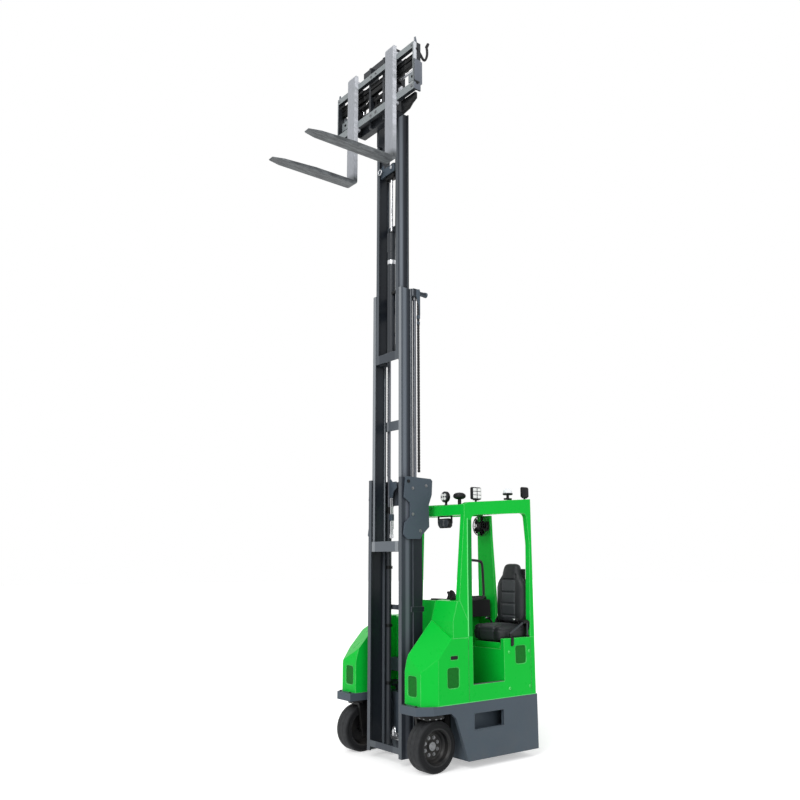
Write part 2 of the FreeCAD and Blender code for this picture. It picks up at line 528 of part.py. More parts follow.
# Free-lift cylinder: tube, bright ring and head, a thinner twin beside it and the feed pipe above
neck_z, ring_z, head_foot_z = FREE_NECK_Z
free = [rod_z(FREE_R, FREE_X, FREE_Y, FREE_Z[0], neck_z), rod_z(FREE_R - 6, FREE_X, FREE_Y, neck_z, ring_z)]
free += [rod_z(FREE_R, FREE_X, FREE_Y, ring_z, head_foot_z)]
free += [rod_z(FREE_R + 4, FREE_X, FREE_Y, head_foot_z, FREE_Z[1])]
twin = rod_z(TWIN_R, TWIN_X, FREE_Y, FREE_Z[0], TWIN_TOP_Z)
save("free_lift_cylinder", Part.makeCompound([joined(free), twin]))
save("feed_pipe", rod_z(6, FREE_X + 36, FREE_Y + 20, FREE_Z[1], FEED_TOP_Z))

# Carriage: a full-width frame in front, a deeper frame in the middle and roller arms inside the mast
bar_rear = CARRIAGE_FRONT_Y + CARRIAGE_BAR_DEPTH
end_rear = CARRIAGE_FRONT_Y + END_DEPTH
end_in_x = CARRIAGE_HALF_W - END_THICK
arm = block(*ARM_X, *ARM_Y, *ARM_Z)
arm_bits = [arm, block(*ARM_X, FRAME_REAR_Y, ARM_Y[0], ARM_Z[1] - NECK_H, ARM_Z[1] + 80)]
for z in (ARM_Z[0] + 215, ARM_Z[1] - 70):
    arm_bits += guide(ARM_X[1], INNER_WEB_X[0] - 3, STAGE_Y, STAGE_FLANGE, z)
save("carriage_arms", Part.makeCompound(both(joined(arm_bits))))
carriage_bits = []
for z0, z1 in ((BAR_TOP_Z - BAR_TOP_H, BAR_TOP_Z), (BAR_LOW_Z, BAR_LOW_Z + BAR_LOW_H)):
    carriage_bits += [block(-CARRIAGE_HALF_W, CARRIAGE_HALF_W, CARRIAGE_FRONT_Y, bar_rear, z0, z1)]
carriage_bits += pair(end_in_x, CARRIAGE_HALF_W, CARRIAGE_FRONT_Y, end_rear, BAR_LOW_Z, BAR_TOP_Z)
carriage_bits += pair(*ARM_X, bar_rear, FRAME_REAR_Y, BAR_LOW_Z - 60, BAR_TOP_Z + 120)
carriage_bits += pair(FRAME_X - 15, FRAME_X, bar_rear, FRAME_REAR_Y, BAR_LOW_Z - 60, BAR_TOP_Z)
carriage_bits += [block(-FRAME_X, FRAME_X, -150, FRAME_REAR_Y, BAR_LOW_Z - 60, BAR_LOW_Z + 60)]
carriage_bits += [block(-FRAME_X + 60, FRAME_X - 60, -150, FRAME_REAR_Y, BAR_TOP_Z + 90, BAR_TOP_Z + 150)]
for drop in SHIFT_ROD_DROPS:
    carriage_bits += [rod_x(SHIFT_ROD_R, -end_in_x, end_in_x, SHIFT_ROD_Y, BAR_TOP_Z - drop)]
save("carriage", joined(carriage_bits))

# Forks: blade, shank and hooks over the carriage bars
shank_rear = CARRIAGE_FRONT_Y - SLIDE_GAP
shank_front = shank_rear - SHANK_THICK
fork_x = (FORK_X - FORK_W / 2, FORK_X + FORK_W / 2)
blade_top_z = FORK_UNDER_Z + FORK_THICK
fork_side = [(shank_rear, FORK_UNDER_Z), (FORK_TIP_Y + 10, FORK_UNDER_Z + 4), (FORK_TIP_Y, FORK_UNDER_Z + 8),
             (FORK_TIP_Y, FORK_UNDER_Z + 14), (-700, blade_top_z), (shank_front, blade_top_z),
             (shank_front, SHANK_TOP_Z - 25), (shank_front + 14, SHANK_TOP_Z), (shank_rear, SHANK_TOP_Z)]
fork = side_cut(fork_side, *fork_x)
fork = rounded(fork, HEEL_R, lambda e: along_x(e) and e.BoundBox.YMin > shank_rear - 1
               and e.BoundBox.ZMax < FORK_UNDER_Z + 1)
tip_y = FORK_TIP_Y - 5
for x_edge, x_cut in ((fork_x[0] - 5, fork_x[0] + 28), (fork_x[1] + 5, fork_x[1] - 28)):
    corner = [(x_edge, tip_y), (x_cut, tip_y), (x_edge, tip_y + 145)]
    fork = fork.cut(plan_cut(corner, FORK_UNDER_Z - 5, FORK_UNDER_Z + 60))
hooks = [block(*fork_x, shank_rear, bar_rear - 10, BAR_TOP_Z + SLIDE_GAP, BAR_TOP_Z + 28)]
hooks += [block(*fork_x, shank_rear, bar_rear - 10, BAR_LOW_Z - 28, BAR_LOW_Z - SLIDE_GAP)]
save_pair("fork", joined([fork] + hooks))


# Wheels, knuckles and the rear drive unit
def spun(profile, x_mid, y_mid):
    wire = Part.makePolygon([V(x_mid + u, y_mid, WHEEL_R + r) for u, r in profile + profile[:1]])
    return Part.Face(wire).revolve(V(x_mid, y_mid, WHEEL_R), V(1, 0, 0), 360)


def wheel(x_mid, y_mid, half):
    r = WHEEL_R
    well_r = BEAD_R - RIM_WALL
    tyre = spun([(-half, BEAD_R), (-half, r - 22), (-half + 6, r - 9), (-half + 20, r), (half - 20, r),
                 (half - 6, r - 9), (half, r - 22), (half, BEAD_R)], x_mid, y_mid)
    rim = spun([(-half, BEAD_R), (half, BEAD_R), (half, BEAD_R - 8), (half - 14, well_r - 8), (0, well_r - 14),
                (0, HUB_R), (14, HUB_R - 4), (14, 0), (-DISC_THICK, 0), (-DISC_THICK, well_r - 14), (-half, well_r)],
               x_mid, y_mid)
    return tyre, rim.cut(rod_x(AXLE_R + RUNNING, x_mid - half, x_mid + 4, y_mid, WHEEL_R))


def carrier(x_mid, y_mid, half, top_z):
    arm_x = (x_mid - half - 35, x_mid - half - 9)
    yoke_z = (2 * WHEEL_R + TYRE_GAP, 2 * WHEEL_R + TYRE_GAP + 18)
    arm = side_cut([(y_mid - 42, WHEEL_R - 55), (y_mid + 42, WHEEL_R - 55), (y_mid + 85, yoke_z[1]),
                    (y_mid - 85, yoke_z[1])], *arm_x)
    parts = [arm, block(arm_x[0], x_mid + 60, y_mid - 85, y_mid + 85, *yoke_z)]
    parts += [rod_z(SLEW_R, x_mid, y_mid, yoke_z[1], top_z - TYRE_GAP)]
    parts += [rod_z(KINGPIN_R, x_mid, y_mid, yoke_z[1], top_z + 30)]
    parts += [rod_x(AXLE_R, arm_x[1], x_mid + 3, y_mid, WHEEL_R)]
    return joined(parts)


tyre, rim = wheel(FRONT_WHEEL_X, FRONT_WHEEL_Y, WHEEL_HALF_W)
save_pair("tyre", tyre)
save_pair("rim", rim)
save_pair("knuckle", carrier(FRONT_WHEEL_X, FRONT_WHEEL_Y, WHEEL_HALF_W, deck_under_z))
drive_tyre, drive_rim = wheel(0, REAR_WHEEL_Y, REAR_WHEEL_HALF_W)
save("drive_tyre", drive_tyre)
save("drive_rim", drive_rim)
save("drive_unit", carrier(0, REAR_WHEEL_Y, REAR_WHEEL_HALF_W, CHASSIS_TOP - 2 * PLATE))

# Tilt cylinders: pinned to the chassis behind and to the outer stage in front
y_rod, z_rod = TILT_ROD_EYE
y_base, z_base = TILT_BASE_EYE
span = math.hypot(y_rod - y_base, z_rod - z_base)


def on_axis(t):
    return (TILT_X, y_base + (y_rod - y_base) * t / span, z_base + (z_rod - z_base) * t / span)


ear_x = (TILT_X - TILT_EYE_HALF - 5 - EAR, TILT_X + TILT_EYE_HALF + 5)
ears = [block(x, x + EAR, y_base - 25, y_base + 27, CHASSIS_TOP, z_base + 25) for x in ear_x]
bracket = joined(ears + [rod_x(TILT_PIN_R, ear_x[0], ear_x[1] + EAR, *TILT_BASE_EYE)])
eye_x = (TILT_X - TILT_EYE_HALF, TILT_X + TILT_EYE_HALF)
barrel = joined([rod_x(TILT_EYE_R, *eye_x, *TILT_BASE_EYE), rod(10, on_axis(18), on_axis(36)),
                 rod(TILT_BARREL_R, on_axis(34), on_axis(112))])
barrel = barrel.cut(rod(TILT_ROD_R + SLIDE_GAP, on_axis(44), on_axis(120)))
barrel = barrel.cut(rod_x(TILT_PIN_R + RUNNING, eye_x[0] - 2, eye_x[1] + 2, *TILT_BASE_EYE))
tilt_rod = joined([rod_x(TILT_EYE_R, *eye_x, *TILT_ROD_EYE), rod(TILT_ROD_R, on_axis(66), on_axis(span - 15))])
tilt_rod = tilt_rod.cut(rod_x(TILT_PIN_R + 0.5, eye_x[0] - 2, eye_x[1] + 2, *TILT_ROD_EYE))
save("tilt_brackets", Part.makeCompound(both(bracket)))
save_pair("tilt_barrel", barrel)
save_pair("tilt_rod", tilt_rod)
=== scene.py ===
import math

import bmesh
import bpy
from mathutils import Matrix, Vector


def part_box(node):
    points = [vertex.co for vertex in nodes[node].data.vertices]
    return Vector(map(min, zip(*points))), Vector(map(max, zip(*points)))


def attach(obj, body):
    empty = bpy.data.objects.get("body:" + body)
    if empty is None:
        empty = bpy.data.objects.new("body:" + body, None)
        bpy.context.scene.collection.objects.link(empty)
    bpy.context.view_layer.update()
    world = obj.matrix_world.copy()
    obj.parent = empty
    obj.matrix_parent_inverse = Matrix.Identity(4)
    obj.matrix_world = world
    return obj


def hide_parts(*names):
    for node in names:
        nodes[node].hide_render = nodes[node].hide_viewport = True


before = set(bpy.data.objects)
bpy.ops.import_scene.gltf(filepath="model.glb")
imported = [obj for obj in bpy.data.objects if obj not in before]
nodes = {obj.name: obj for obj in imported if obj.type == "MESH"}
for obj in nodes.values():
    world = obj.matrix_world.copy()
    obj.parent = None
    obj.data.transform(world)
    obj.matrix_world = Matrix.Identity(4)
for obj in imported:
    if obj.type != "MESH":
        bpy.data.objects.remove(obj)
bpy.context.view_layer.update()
scene = bpy.context.scene

# The photograph's camera, low beside the left front wheel and looking up the mast (metres)
CAMERA_PLACE = (5.9947, -4.5229, 1.6712)
CAMERA_LOOK = (-0.77586, 0.59974, 0.19583)
SENSOR_MM = 36
LENS_MM = 36.81

# Places in the frame of the truck, in millimetres: x to its left, y to its rear, z up
HALF_WIDTH = 645
REAR_Y = 1168
WHEEL_R = 203
FRONT_WHEEL = (513, 37)
REAR_WHEEL = (0, 847)
BEAD_R = 148
FENDER_VENT_Y = -108
SIDE_VENT_X = 636
PLATE_X = 272
LIFT_BARREL = (195, 131)
SEAT_MID_X = 418
SEAT_PANEL_HALF = 88

# Colours that several finishes share; the two shades are painted shade and the lit front is a painted highlight
DUST = (0.13, 0.12, 0.105)
INNER_SHADE = (0.009, 0.012, 0.016)
CORNER_SHADE = (0.01, 0.012, 0.017)
LIT_FRONT = (0.27, 0.3, 0.31)


def aimed(name, data, direction):
    """A camera or lamp that looks along a direction."""
    thing = bpy.data.objects.new(name, data)
    scene.collection.objects.link(thing)
    thing.rotation_mode = "QUATERNION"
    thing.rotation_quaternion = Vector(direction).to_track_quat("-Z", "Y")
    return thing


def make_camera():
    data = bpy.data.cameras.new("camera")
    data.sensor_width = SENSOR_MM
    data.lens = LENS_MM
    data.clip_end = 200
    scene.camera = aimed("camera", data, CAMERA_LOOK)
    scene.camera.location = CAMERA_PLACE


class Nodes:
    """Adds nodes to one tree. What an input is given is linked if it is a socket, and set if it is a constant."""

    def __init__(self, tree):
        self.tree = tree

    def fill(self, node, inputs):
        for key, value in inputs.items() if isinstance(inputs, dict) else enumerate(inputs):
            socket = node.inputs[key]
            if isinstance(value, bpy.types.NodeSocket):
                self.tree.links.new(value, socket)
            else:
                socket.default_value = (*value, 1) if socket.type == "RGBA" else value

    def add(self, kind, inputs=(), out=0, **settings):
        node = self.tree.nodes.new("ShaderNode" + kind)
        for title, value in settings.items():
            setattr(node, title, value)
        self.fill(node, inputs)
        return node.outputs[out]

    def math(self, operation, *values, clamp=False):
        return self.add("Math", values, operation=operation, use_clamp=clamp)

    def times(self, a, b, clamp=False):
        return self.math("MULTIPLY", a, b, clamp=clamp)

    def plus(self, a, b, clamp=False):
        return self.math("ADD", a, b, clamp=clamp)

    def minus(self, a, b, clamp=False):
        return self.math("SUBTRACT", a, b, clamp=clamp)

    def place(self):
        return self.add("TexCoord", out="Object")

    def axis(self, axis, vector=None):
        return self.add("SeparateXYZ", [vector or self.place()], axis)

    def facing(self, axis):
        return self.axis(axis, self.add("NewGeometry", out="True Normal"))

    def noise(self, scale, detail=3.0, roughness=0.5, vector=None):
        return self.add("TexNoise", {"Vector": vector or self.place(), "Scale": scale, "Detail": detail,
                                     "Roughness": roughness}, "Fac")

    def ramp(self, value, low, high, to_low=0.0, to_high=1.0):
        return self.add("MapRange", {"Value": value, "From Min": low, "From Max": high, "To Min": to_low,
                                     "To Max": to_high}, "Result")

    def mixed(self, factor, a, b):
        return self.add("Mix", {0: factor, 6: a, 7: b}, 2, data_type="RGBA")

    def bump(self, height, strength, distance, normal=None, invert=False):
        inputs = {"Height": height, "Strength": strength, "Distance": distance}
        if normal:
            inputs["Normal"] = normal
        return self.add("Bump", inputs, "Normal", invert=invert)

    def grain(self, scale, strength, distance, normal=None):
        """Fine surface grain."""
        return self.bump(self.noise(scale, 4), strength, distance, normal)

    def group(self, group, **values):
        """A node of a shared group; gives all its outputs."""
        return self.add("Group", values, node_tree=group).node.outputs

    def seen_rays(self):
        """One where a camera, mirror or glass ray asks for the colour, and zero for light on the object."""
        rays = self.add("LightPath").node.outputs
        direct = self.math("MAXIMUM", rays["Is Camera Ray"], rays["Is Glossy Ray"])
        return self.math("MAXIMUM", direct, rays["Is Transmission Ray"])


# Soft studio light: a bright even sky, one broad lamp from the front and a weak one from the side
def make_light():
    world = bpy.data.worlds.new("studio")
    scene.world = world
    world.use_nodes = True
    n = Nodes(world.node_tree)
    n.fill(n.tree.nodes["Background"],
           {"Color": (1, 1, 1), "Strength": n.add("MapRange", {"Value": n.seen_rays(), "To Min": 0.62, "To Max": 1.0})})
    for name, direction, strength, angle in (("key_light", (-0.35, 0.72, -0.6), 1.5, 30),
                                             ("side_light", (-0.85, 0.25, -0.35), 0.55, 40)):
        data = bpy.data.lights.new(name, "SUN")
        data.energy = strength
        data.angle = math.radians(angle)
        aimed(name, data, direction)


def new_material(name, **settings):
    """A material with a Principled shader and constants for its sockets."""
    material = bpy.data.materials.new(name)
    material.use_nodes = True
    n = Nodes(material.node_tree)
    shader = n.tree.nodes["Principled BSDF"]
    n.fill(shader, {title.replace("_", " "): value for title, value in settings.items()})
    return material, n, shader


def make_floor():
    bm = bmesh.new()
    bmesh.ops.create_grid(bm, x_segments=1, y_segments=1, size=60)
    mesh = bpy.data.meshes.new("floor")
    bm.to_mesh(mesh)
    bm.free()
    floor = bpy.data.objects.new("floor", mesh)
    scene.collection.objects.link(floor)
    material, n, shader = new_material("white_floor", Base_Color=(0.86, 0.86, 0.86), Roughness=0.9,
                                       Emission_Color=(1, 1, 1))
    n.fill(shader, {"Emission Strength": n.times(n.seen_rays(), 0.42)})
    mesh.materials.append(material)


# Surface effects that the materials share
def new_group(name, inputs, outputs):
    """An empty group whose sockets are numbers, apart from those called Color or Normal."""
    kinds = {"Color": "NodeSocketColor", "Normal": "NodeSocketVector"}
    group = bpy.data.node_groups.new(name, "ShaderNodeTree")
    for title, value in inputs.items():
        socket = group.interface.new_socket(title, in_out="INPUT", socket_type=kinds.get(title, "NodeSocketFloat"))
        socket.default_value = value
    for title in outputs:
        group.interface.new_socket(title, in_out="OUTPUT", socket_type=kinds.get(title, "NodeSocketFloat"))
    given = group.nodes.new("NodeGroupInput").outputs
    return group, Nodes(group), given, group.nodes.new("NodeGroupOutput")


def make_edge_group():
    """Mask that is one along sharp edges, broken up by a noise, and a normal that rounds those edges."""
    group, n, given, made = new_group("edge_wear_and_highlight", {"Radius": 0.004, "Breakup": 14.0}, ("Mask", "Normal"))
    rounded = n.add("Bevel", {"Radius": given["Radius"]}, samples=6)
    flat = n.add("NewGeometry", out="Normal")
    edge = n.ramp(n.add("VectorMath", [rounded, flat], "Value", operation="DOT_PRODUCT"), 0.995, 0.9)
    edge_marked = n.ramp(n.noise(given["Breakup"]), 0.38, 0.6, 0.55, 1.0)
    n.fill(made, {"Mask": n.times(edge, edge_marked), "Normal": rounded})
    return group


def make_tone_group():
    """A colour that drifts a little over the surface, with its roughness."""
    group, n, given, made = new_group("tone_drift", {"Color": (0.5, 0.5, 0.5, 1), "Drift": 0.1, "Scale": 3.0,
                                                     "Roughness": 0.4}, ("Color", "Roughness"))
    shade = n.times(n.minus(n.noise(given["Scale"], 4), 0.5), given["Drift"])
    value = n.plus(n.times(shade, 2.0), 1.0)
    spread = n.times(n.minus(n.noise(14.0, 5), 0.5), 0.22)
    n.fill(made, {"Color": n.add("HueSaturation", {"Color": given["Color"], "Value": value}),
                  "Roughness": n.plus(spread, given["Roughness"], True)})
    return group


def make_dust_group():
    """Road dust: strongest near the ground and in patches."""
    group, n, given, made = new_group("road_dust", {"Height": 0.5, "Amount": 0.4}, ("Mask",))
    low = n.minus(1.0, n.math("DIVIDE", n.axis("Z"), given["Height"]), True)
    patches = n.ramp(n.noise(9.0, 5), 0.35, 0.7)
    n.fill(made, {"Mask": n.times(n.times(low, patches), given["Amount"])})
    return group


edge_group = make_edge_group()
tone_group = make_tone_group()
dust_group = make_dust_group()


# Finishes; the places that they name are in metres
def painted(name, colour, rough=0.35, drift=0.1, wear_and_highlight_colour=(0.35, 0.36, 0.37), wear_and_highlight_amount=0.5, dust=0.3, gloss=0.35, edge=0.0035,
            front=None, front_y=None, front_x=None, streak=0.0, web_highlight=None, upper=None):
    """Sprayed metal: faint orange peel, lighter thin edges, dust low down, and a lighter front face if one is given.

    The lighter thin edges are partly edge wear and partly a painted highlight, most of all on the green paint, and the
    lighter front face is a painted highlight. The band given for a mast rail is the half width and colour of a painted
    highlight down the middle of the rail's outward faces; with it come painted shade on the inward faces and towards
    the rear of the outward faces. upper is the height, colour and side colour of the part of a fork above its blade;
    the side colour is a painted reflection.
    """
    material, n, shader = new_material(name, Specular_IOR_Level=gloss)
    tone = n.group(tone_group, Color=colour, Drift=drift, Roughness=rough)
    edges = n.group(edge_group, Radius=edge)
    dirt = n.group(dust_group, Height=0.6, Amount=dust)
    face = tone["Color"]
    # Painted highlight: faces looking forward, towards the light, take the lighter front colour
    if front:
        forward = n.ramp(n.facing("Y"), -0.7, -0.95)
        if front_y is not None:
            forward = n.times(forward, n.ramp(n.axis("Y"), front_y + 0.004, front_y))
        if front_x is not None:
            aside = n.math("ABSOLUTE", n.axis("X"))
            forward = n.times(forward, n.ramp(aside, front_x, front_x + 0.004, 0.35, 1.0))
        face = n.mixed(n.times(forward, 0.85), face, front)
    # Painted shade on the inward faces and towards the rear of the outward faces, and a painted highlight band down the
    # middle of the outward faces
    if web_highlight:
        half, highlight_colour = web_highlight
        outwards = n.times(n.facing("X"), n.math("SIGN", n.axis("X")))
        outward = n.ramp(outwards, 0.8, 0.95)
        face = n.mixed(n.times(n.ramp(outwards, -0.6, -0.9), 0.8), face, INNER_SHADE)
        highlight_band = n.ramp(n.math("ABSOLUTE", n.axis("Y")), half, half * 0.35)
        face = n.mixed(n.times(n.times(outward, highlight_band), 0.7), face, highlight_colour)
        shaded = n.times(outward, n.ramp(n.axis("Y"), 0.022, 0.045))
        face = n.mixed(n.times(shaded, 0.75), face, CORNER_SHADE)
    # The part above the blade in its own colour, with a painted reflection lighting its side faces
    if upper:
        height, shank, side = upper
        face = n.mixed(n.ramp(n.axis("Z"), height, height + 0.06), face, shank)
        side_reflection = n.times(n.ramp(n.facing("X"), 0.7, 0.9), n.ramp(n.axis("Z"), height + 0.05, height + 0.5))
        face = n.mixed(side_reflection, face, side)
    if streak:
        lines = n.add("Mapping", {"Vector": n.place(), "Scale": (9.0, 1.2, 3.0)})
        face = n.mixed(n.ramp(n.noise(6.0, 6, 0.65, lines), 0.42, 0.72, 0.0, streak), face, wear_and_highlight_colour)
    # Lighter thin edges: partly edge wear and partly a painted highlight, most of all on the green paint
    edge_marked = n.mixed(n.times(edges["Mask"], wear_and_highlight_amount), face, wear_and_highlight_colour)
    n.fill(shader, {"Base Color": n.mixed(dirt["Mask"], edge_marked, DUST), "Roughness": tone["Roughness"],
                    "Normal": n.grain(90.0, 0.025, 0.001, edges["Normal"])})
    return material


def bare_steel(name, colour, rough=0.3, metallic=0.9, scratch=0.05):
    """Machined or plated steel with fine drawn lines."""
    material, n, shader = new_material(name, Metallic=metallic)
    tone = n.group(tone_group, Color=colour, Drift=0.1, Scale=8.0, Roughness=rough)
    edges = n.group(edge_group, Radius=0.002)
    n.fill(shader, {"Base Color": tone["Color"], "Roughness": tone["Roughness"],
                    "Normal": n.grain(240.0, scratch, 0.0004, edges["Normal"])})
    return material


def moulded(name, colour, rough=0.5, grain=500.0, strength=0.08, gloss=0.3):
    """Moulded plastic or rubber with a fine leathery grain."""
    material, n, shader = new_material(name, Specular_IOR_Level=gloss)
    tone = n.group(tone_group, Color=colour, Drift=0.15, Scale=6.0, Roughness=rough)
    dirt = n.group(dust_group, Height=1.5, Amount=0.05)
    edges = n.group(edge_group, Radius=0.0025)
    n.fill(shader, {"Base Color": n.mixed(dirt["Mask"], tone["Color"], (0.1, 0.095, 0.085)),
                    "Roughness": tone["Roughness"], "Normal": n.grain(grain, strength, 0.0006, edges["Normal"])})
    return material


def tyre_rubber():
    """Solid rubber: near black side walls and a greyer tread, its grey partly scuffs and dust and partly painted light,
    told apart by the UV map's first value.
    """
    material, n, shader = new_material("tyre_rubber", Specular_IOR_Level=0.14)
    tone = n.group(tone_group, Color=(0.0085, 0.009, 0.01), Drift=0.3, Scale=5.0, Roughness=0.62)
    tread = n.axis("X", n.add("UVMap", uv_map="across"))
    scuffs = n.ramp(n.noise(26.0, 6, 0.65), 0.3, 0.75)
    # The tread's grey: scuffs and dust, and partly painted light
    scuffed_and_lit = n.times(tread, n.ramp(scuffs, 0.0, 1.0, 0.35, 0.8), True)
    n.fill(shader, {"Base Color": n.mixed(scuffed_and_lit, tone["Color"], (0.05, 0.052, 0.055)),
                    "Roughness": tone["Roughness"], "Normal": n.grain(220.0, 0.12, 0.0008)})
    return material


def seat_hide():
    """Charcoal seat covering: a close pebbled grain, a soft sheen and a lighter middle panel."""
    material, n, shader = new_material("seat_hide", Specular_IOR_Level=0.35, Sheen_Weight=0.05, Sheen_Roughness=0.4)
    tone = n.group(tone_group, Color=(0.013, 0.0145, 0.017), Drift=0.2, Scale=5.0, Roughness=0.5)
    cells = n.add("TexVoronoi", {"Vector": n.place(), "Scale": 300}, "Distance")
    across = n.math("ABSOLUTE", n.minus(n.axis("X"), SEAT_MID_X / 1000))
    panel = n.times(n.ramp(across, 0.09, 0.082), n.ramp(n.axis("Z"), 1.525, 1.52))
    n.fill(shader, {"Base Color": n.mixed(n.times(panel, 0.8), tone["Color"], (0.042, 0.046, 0.052)),
                    "Roughness": tone["Roughness"], "Normal": n.bump(cells, 0.12, 0.0008)})
    return material


def vent_mesh():
    """Perforated green sheet: a darker green that is painted shade, and staggered holes painted dark as the shade
    behind them, read from the sheet's own place.
    """
    material, n, shader = new_material("vent_mesh", Roughness=0.5, Specular_IOR_Level=0.12)
    pitch = 0.011
    along = n.math("DIVIDE", n.plus(n.axis("X"), n.axis("Y")), pitch)
    up = n.math("DIVIDE", n.axis("Z"), pitch * 0.866)
    shift = n.times(n.math("MODULO", n.math("FLOOR", up), 2.0), 0.5)
    u = n.minus(n.math("FRACT", n.plus(along, shift)), 0.5)
    v = n.minus(n.math("FRACT", up), 0.5)
    hole = n.ramp(n.math("SQRT", n.plus(n.times(u, u), n.times(v, v))), 0.36, 0.28)
    # Painted shade: the sheet's darker green and the darker holes
    n.fill(shader, {"Base Color": n.mixed(hole, (0.005, 0.2, 0.016), (0.003, 0.045, 0.008)),
                    "Normal": n.bump(hole, 0.8, 0.002, invert=True)})
    return material


def clear_lens():
    """Lamp glass with a faint moulded ripple."""
    material, n, shader = new_material("clear_lens", Coat_Weight=0.6)
    tone = n.group(tone_group, Color=(0.82, 0.85, 0.88), Drift=0.05, Scale=20.0, Roughness=0.08)
    n.fill(shader, {"Base Color": tone["Color"], "Roughness": tone["Roughness"], "Normal": n.grain(160.0, 0.15, 0.001)})
    return material


def rail_paint(name, colour, front, front_x, half, highlight_colour):
    """The paint of a mast stage's rails, with painted highlights on the front and down the outward faces and painted
    shade on the inward faces.
    """
    return painted(name, colour, 0.36, wear_and_highlight_colour=(0.16, 0.175, 0.195), wear_and_highlight_amount=0.7, dust=0.1, gloss=0.2, front=front,
                   front_x=front_x, web_highlight=(half, highlight_colour))


# The green's light edge colour is mostly a painted highlight along its edges
green = painted("green_paint", (0.003, 0.5, 0.04), 0.3, 0.05, (0.28, 0.88, 0.36), 0.75, 0.08, 0.09, edge=0.006)
shaded_green = painted("shaded_green", (0.003, 0.25, 0.026), 0.34, 0.05, wear_and_highlight_amount=0.0, dust=0.05, gloss=0.06)
# Light green for lines of painted highlight
highlight_green = painted("highlight_green", (0.16, 0.8, 0.24), 0.3, 0.05, wear_and_highlight_amount=0.0, dust=0.05, gloss=0.1)
slate = painted("slate_paint", (0.062, 0.082, 0.104), 0.42, wear_and_highlight_colour=(0.17, 0.19, 0.22), dust=0.15, gloss=0.2)
mast_paint = rail_paint("mast_paint", (0.034, 0.041, 0.053), (0.085, 0.098, 0.112), 0.12, 0.03, (0.14, 0.155, 0.185))
inner_paint = rail_paint("inner_paint", (0.034, 0.041, 0.053), (0.085, 0.098, 0.112), 0.12, 0.032, (0.25, 0.28, 0.32))
stage_paint = rail_paint("stage_paint", (0.056, 0.07, 0.088), (0.26, 0.28, 0.3), 0.15, 0.034, (0.19, 0.215, 0.25))
barrel_paint = painted("barrel_paint", (0.026, 0.031, 0.038), 0.34, wear_and_highlight_colour=(0.12, 0.13, 0.145), wear_and_highlight_amount=0.6, dust=0.1)
carriage_paint = painted("carriage_paint", (0.02, 0.023, 0.028), 0.38, wear_and_highlight_colour=(0.12, 0.13, 0.14), wear_and_highlight_amount=0.6, dust=0.0,
                         gloss=0.3, front=LIT_FRONT, front_y=-0.215)
end_paint = painted("end_paint", (0.13, 0.145, 0.175), 0.38, wear_and_highlight_colour=(0.4, 0.42, 0.45), wear_and_highlight_amount=0.8, dust=0.0,
                    front=LIT_FRONT)
# The fork's upper side colour is a painted reflection
blade_steel = painted("blade_steel", (0.06, 0.066, 0.072), 0.4, 0.2, (0.24, 0.26, 0.27), 0.9, 0.0,
                      streak=0.7, upper=(5.43, (0.32, 0.335, 0.37), (0.75, 0.77, 0.83)))
black_metal = painted("black_metal", (0.005, 0.0055, 0.006), 0.4, wear_and_highlight_colour=(0.06, 0.06, 0.062), dust=0.1, gloss=0.2)
rim_black = painted("rim_black", (0.0065, 0.007, 0.008), 0.42, wear_and_highlight_colour=(0.07, 0.07, 0.075), wear_and_highlight_amount=0.6, dust=0.25,
                    gloss=0.25)
# Near-white paint for strips and blocks that stand in for highlights: painted highlight
highlight_paint = painted("highlight_strip", (0.62, 0.64, 0.68), 0.3, dust=0.0, gloss=0.5)
shaded_chrome = bare_steel("shaded_chrome", (0.13, 0.14, 0.16), metallic=0.6, scratch=0.0)
bright_steel = bare_steel("bright_steel", (0.62, 0.63, 0.65), 0.22)
bolt_steel = bare_steel("bolt_steel", (0.22, 0.225, 0.235), 0.42)
black_plastic = moulded("black_plastic", (0.0055, 0.0055, 0.0065), gloss=0.22)
grey_plastic = moulded("grey_plastic", (0.06, 0.064, 0.07))
hose_cover = moulded("hose_cover", (0.012, 0.012, 0.013), 0.6, 200.0, 0.2)
mat_rubber = moulded("mat_rubber", (0.085, 0.092, 0.096), 0.7)
red_plastic = moulded("red_plastic", (0.45, 0.008, 0.008), 0.25, gloss=0.5)
lit_cell = moulded("lit_cell", (0.8, 0.82, 0.8), 0.2, gloss=0.5)
smoked = moulded("smoked_glass", (0.035, 0.04, 0.045), 0.08, gloss=0.6)
tyre = tyre_rubber()
hide = seat_hide()
mesh_sheet = vent_mesh()
lens = clear_lens()

finish_of = {}
for finish, names in ((slate, "chassis front_crossbeam tilt_brackets mast_side_plates"),
                      (green, "left_fender right_fender cab_tub right_hood rear_body cowl guard_frame roof_slats"),
                      (mast_paint, "outer_mast"), (inner_paint, "inner_mast"), (stage_paint, "middle_mast"),
                      (barrel_paint, "left_tilt_barrel right_tilt_barrel free_lift_cylinder carriage_arms"),
                      (barrel_paint, "left_lift_barrel right_lift_barrel arm_rail"),
                      (bright_steel, "left_tilt_rod right_tilt_rod"), (shaded_chrome, "lift_rods"),
                      (carriage_paint, "carriage"), (blade_steel, "left_fork right_fork"),
                      (black_metal, "left_knuckle right_knuckle drive_unit feed_pipe grab_rail levers seat_base"),
                      (rim_black, "left_rim right_rim drive_rim"), (tyre, "left_tyre right_tyre drive_tyre"),
                      (hide, "seat_cushion seat_back"), (hose_cover, "mast_hoses"), (lens, "beacon")):
    finish_of.update({name: finish for name in names.split()})
for node_name, node in nodes.items():
    node.data.materials.clear()
    node.data.materials.append(finish_of.get(node_name, black_plastic))

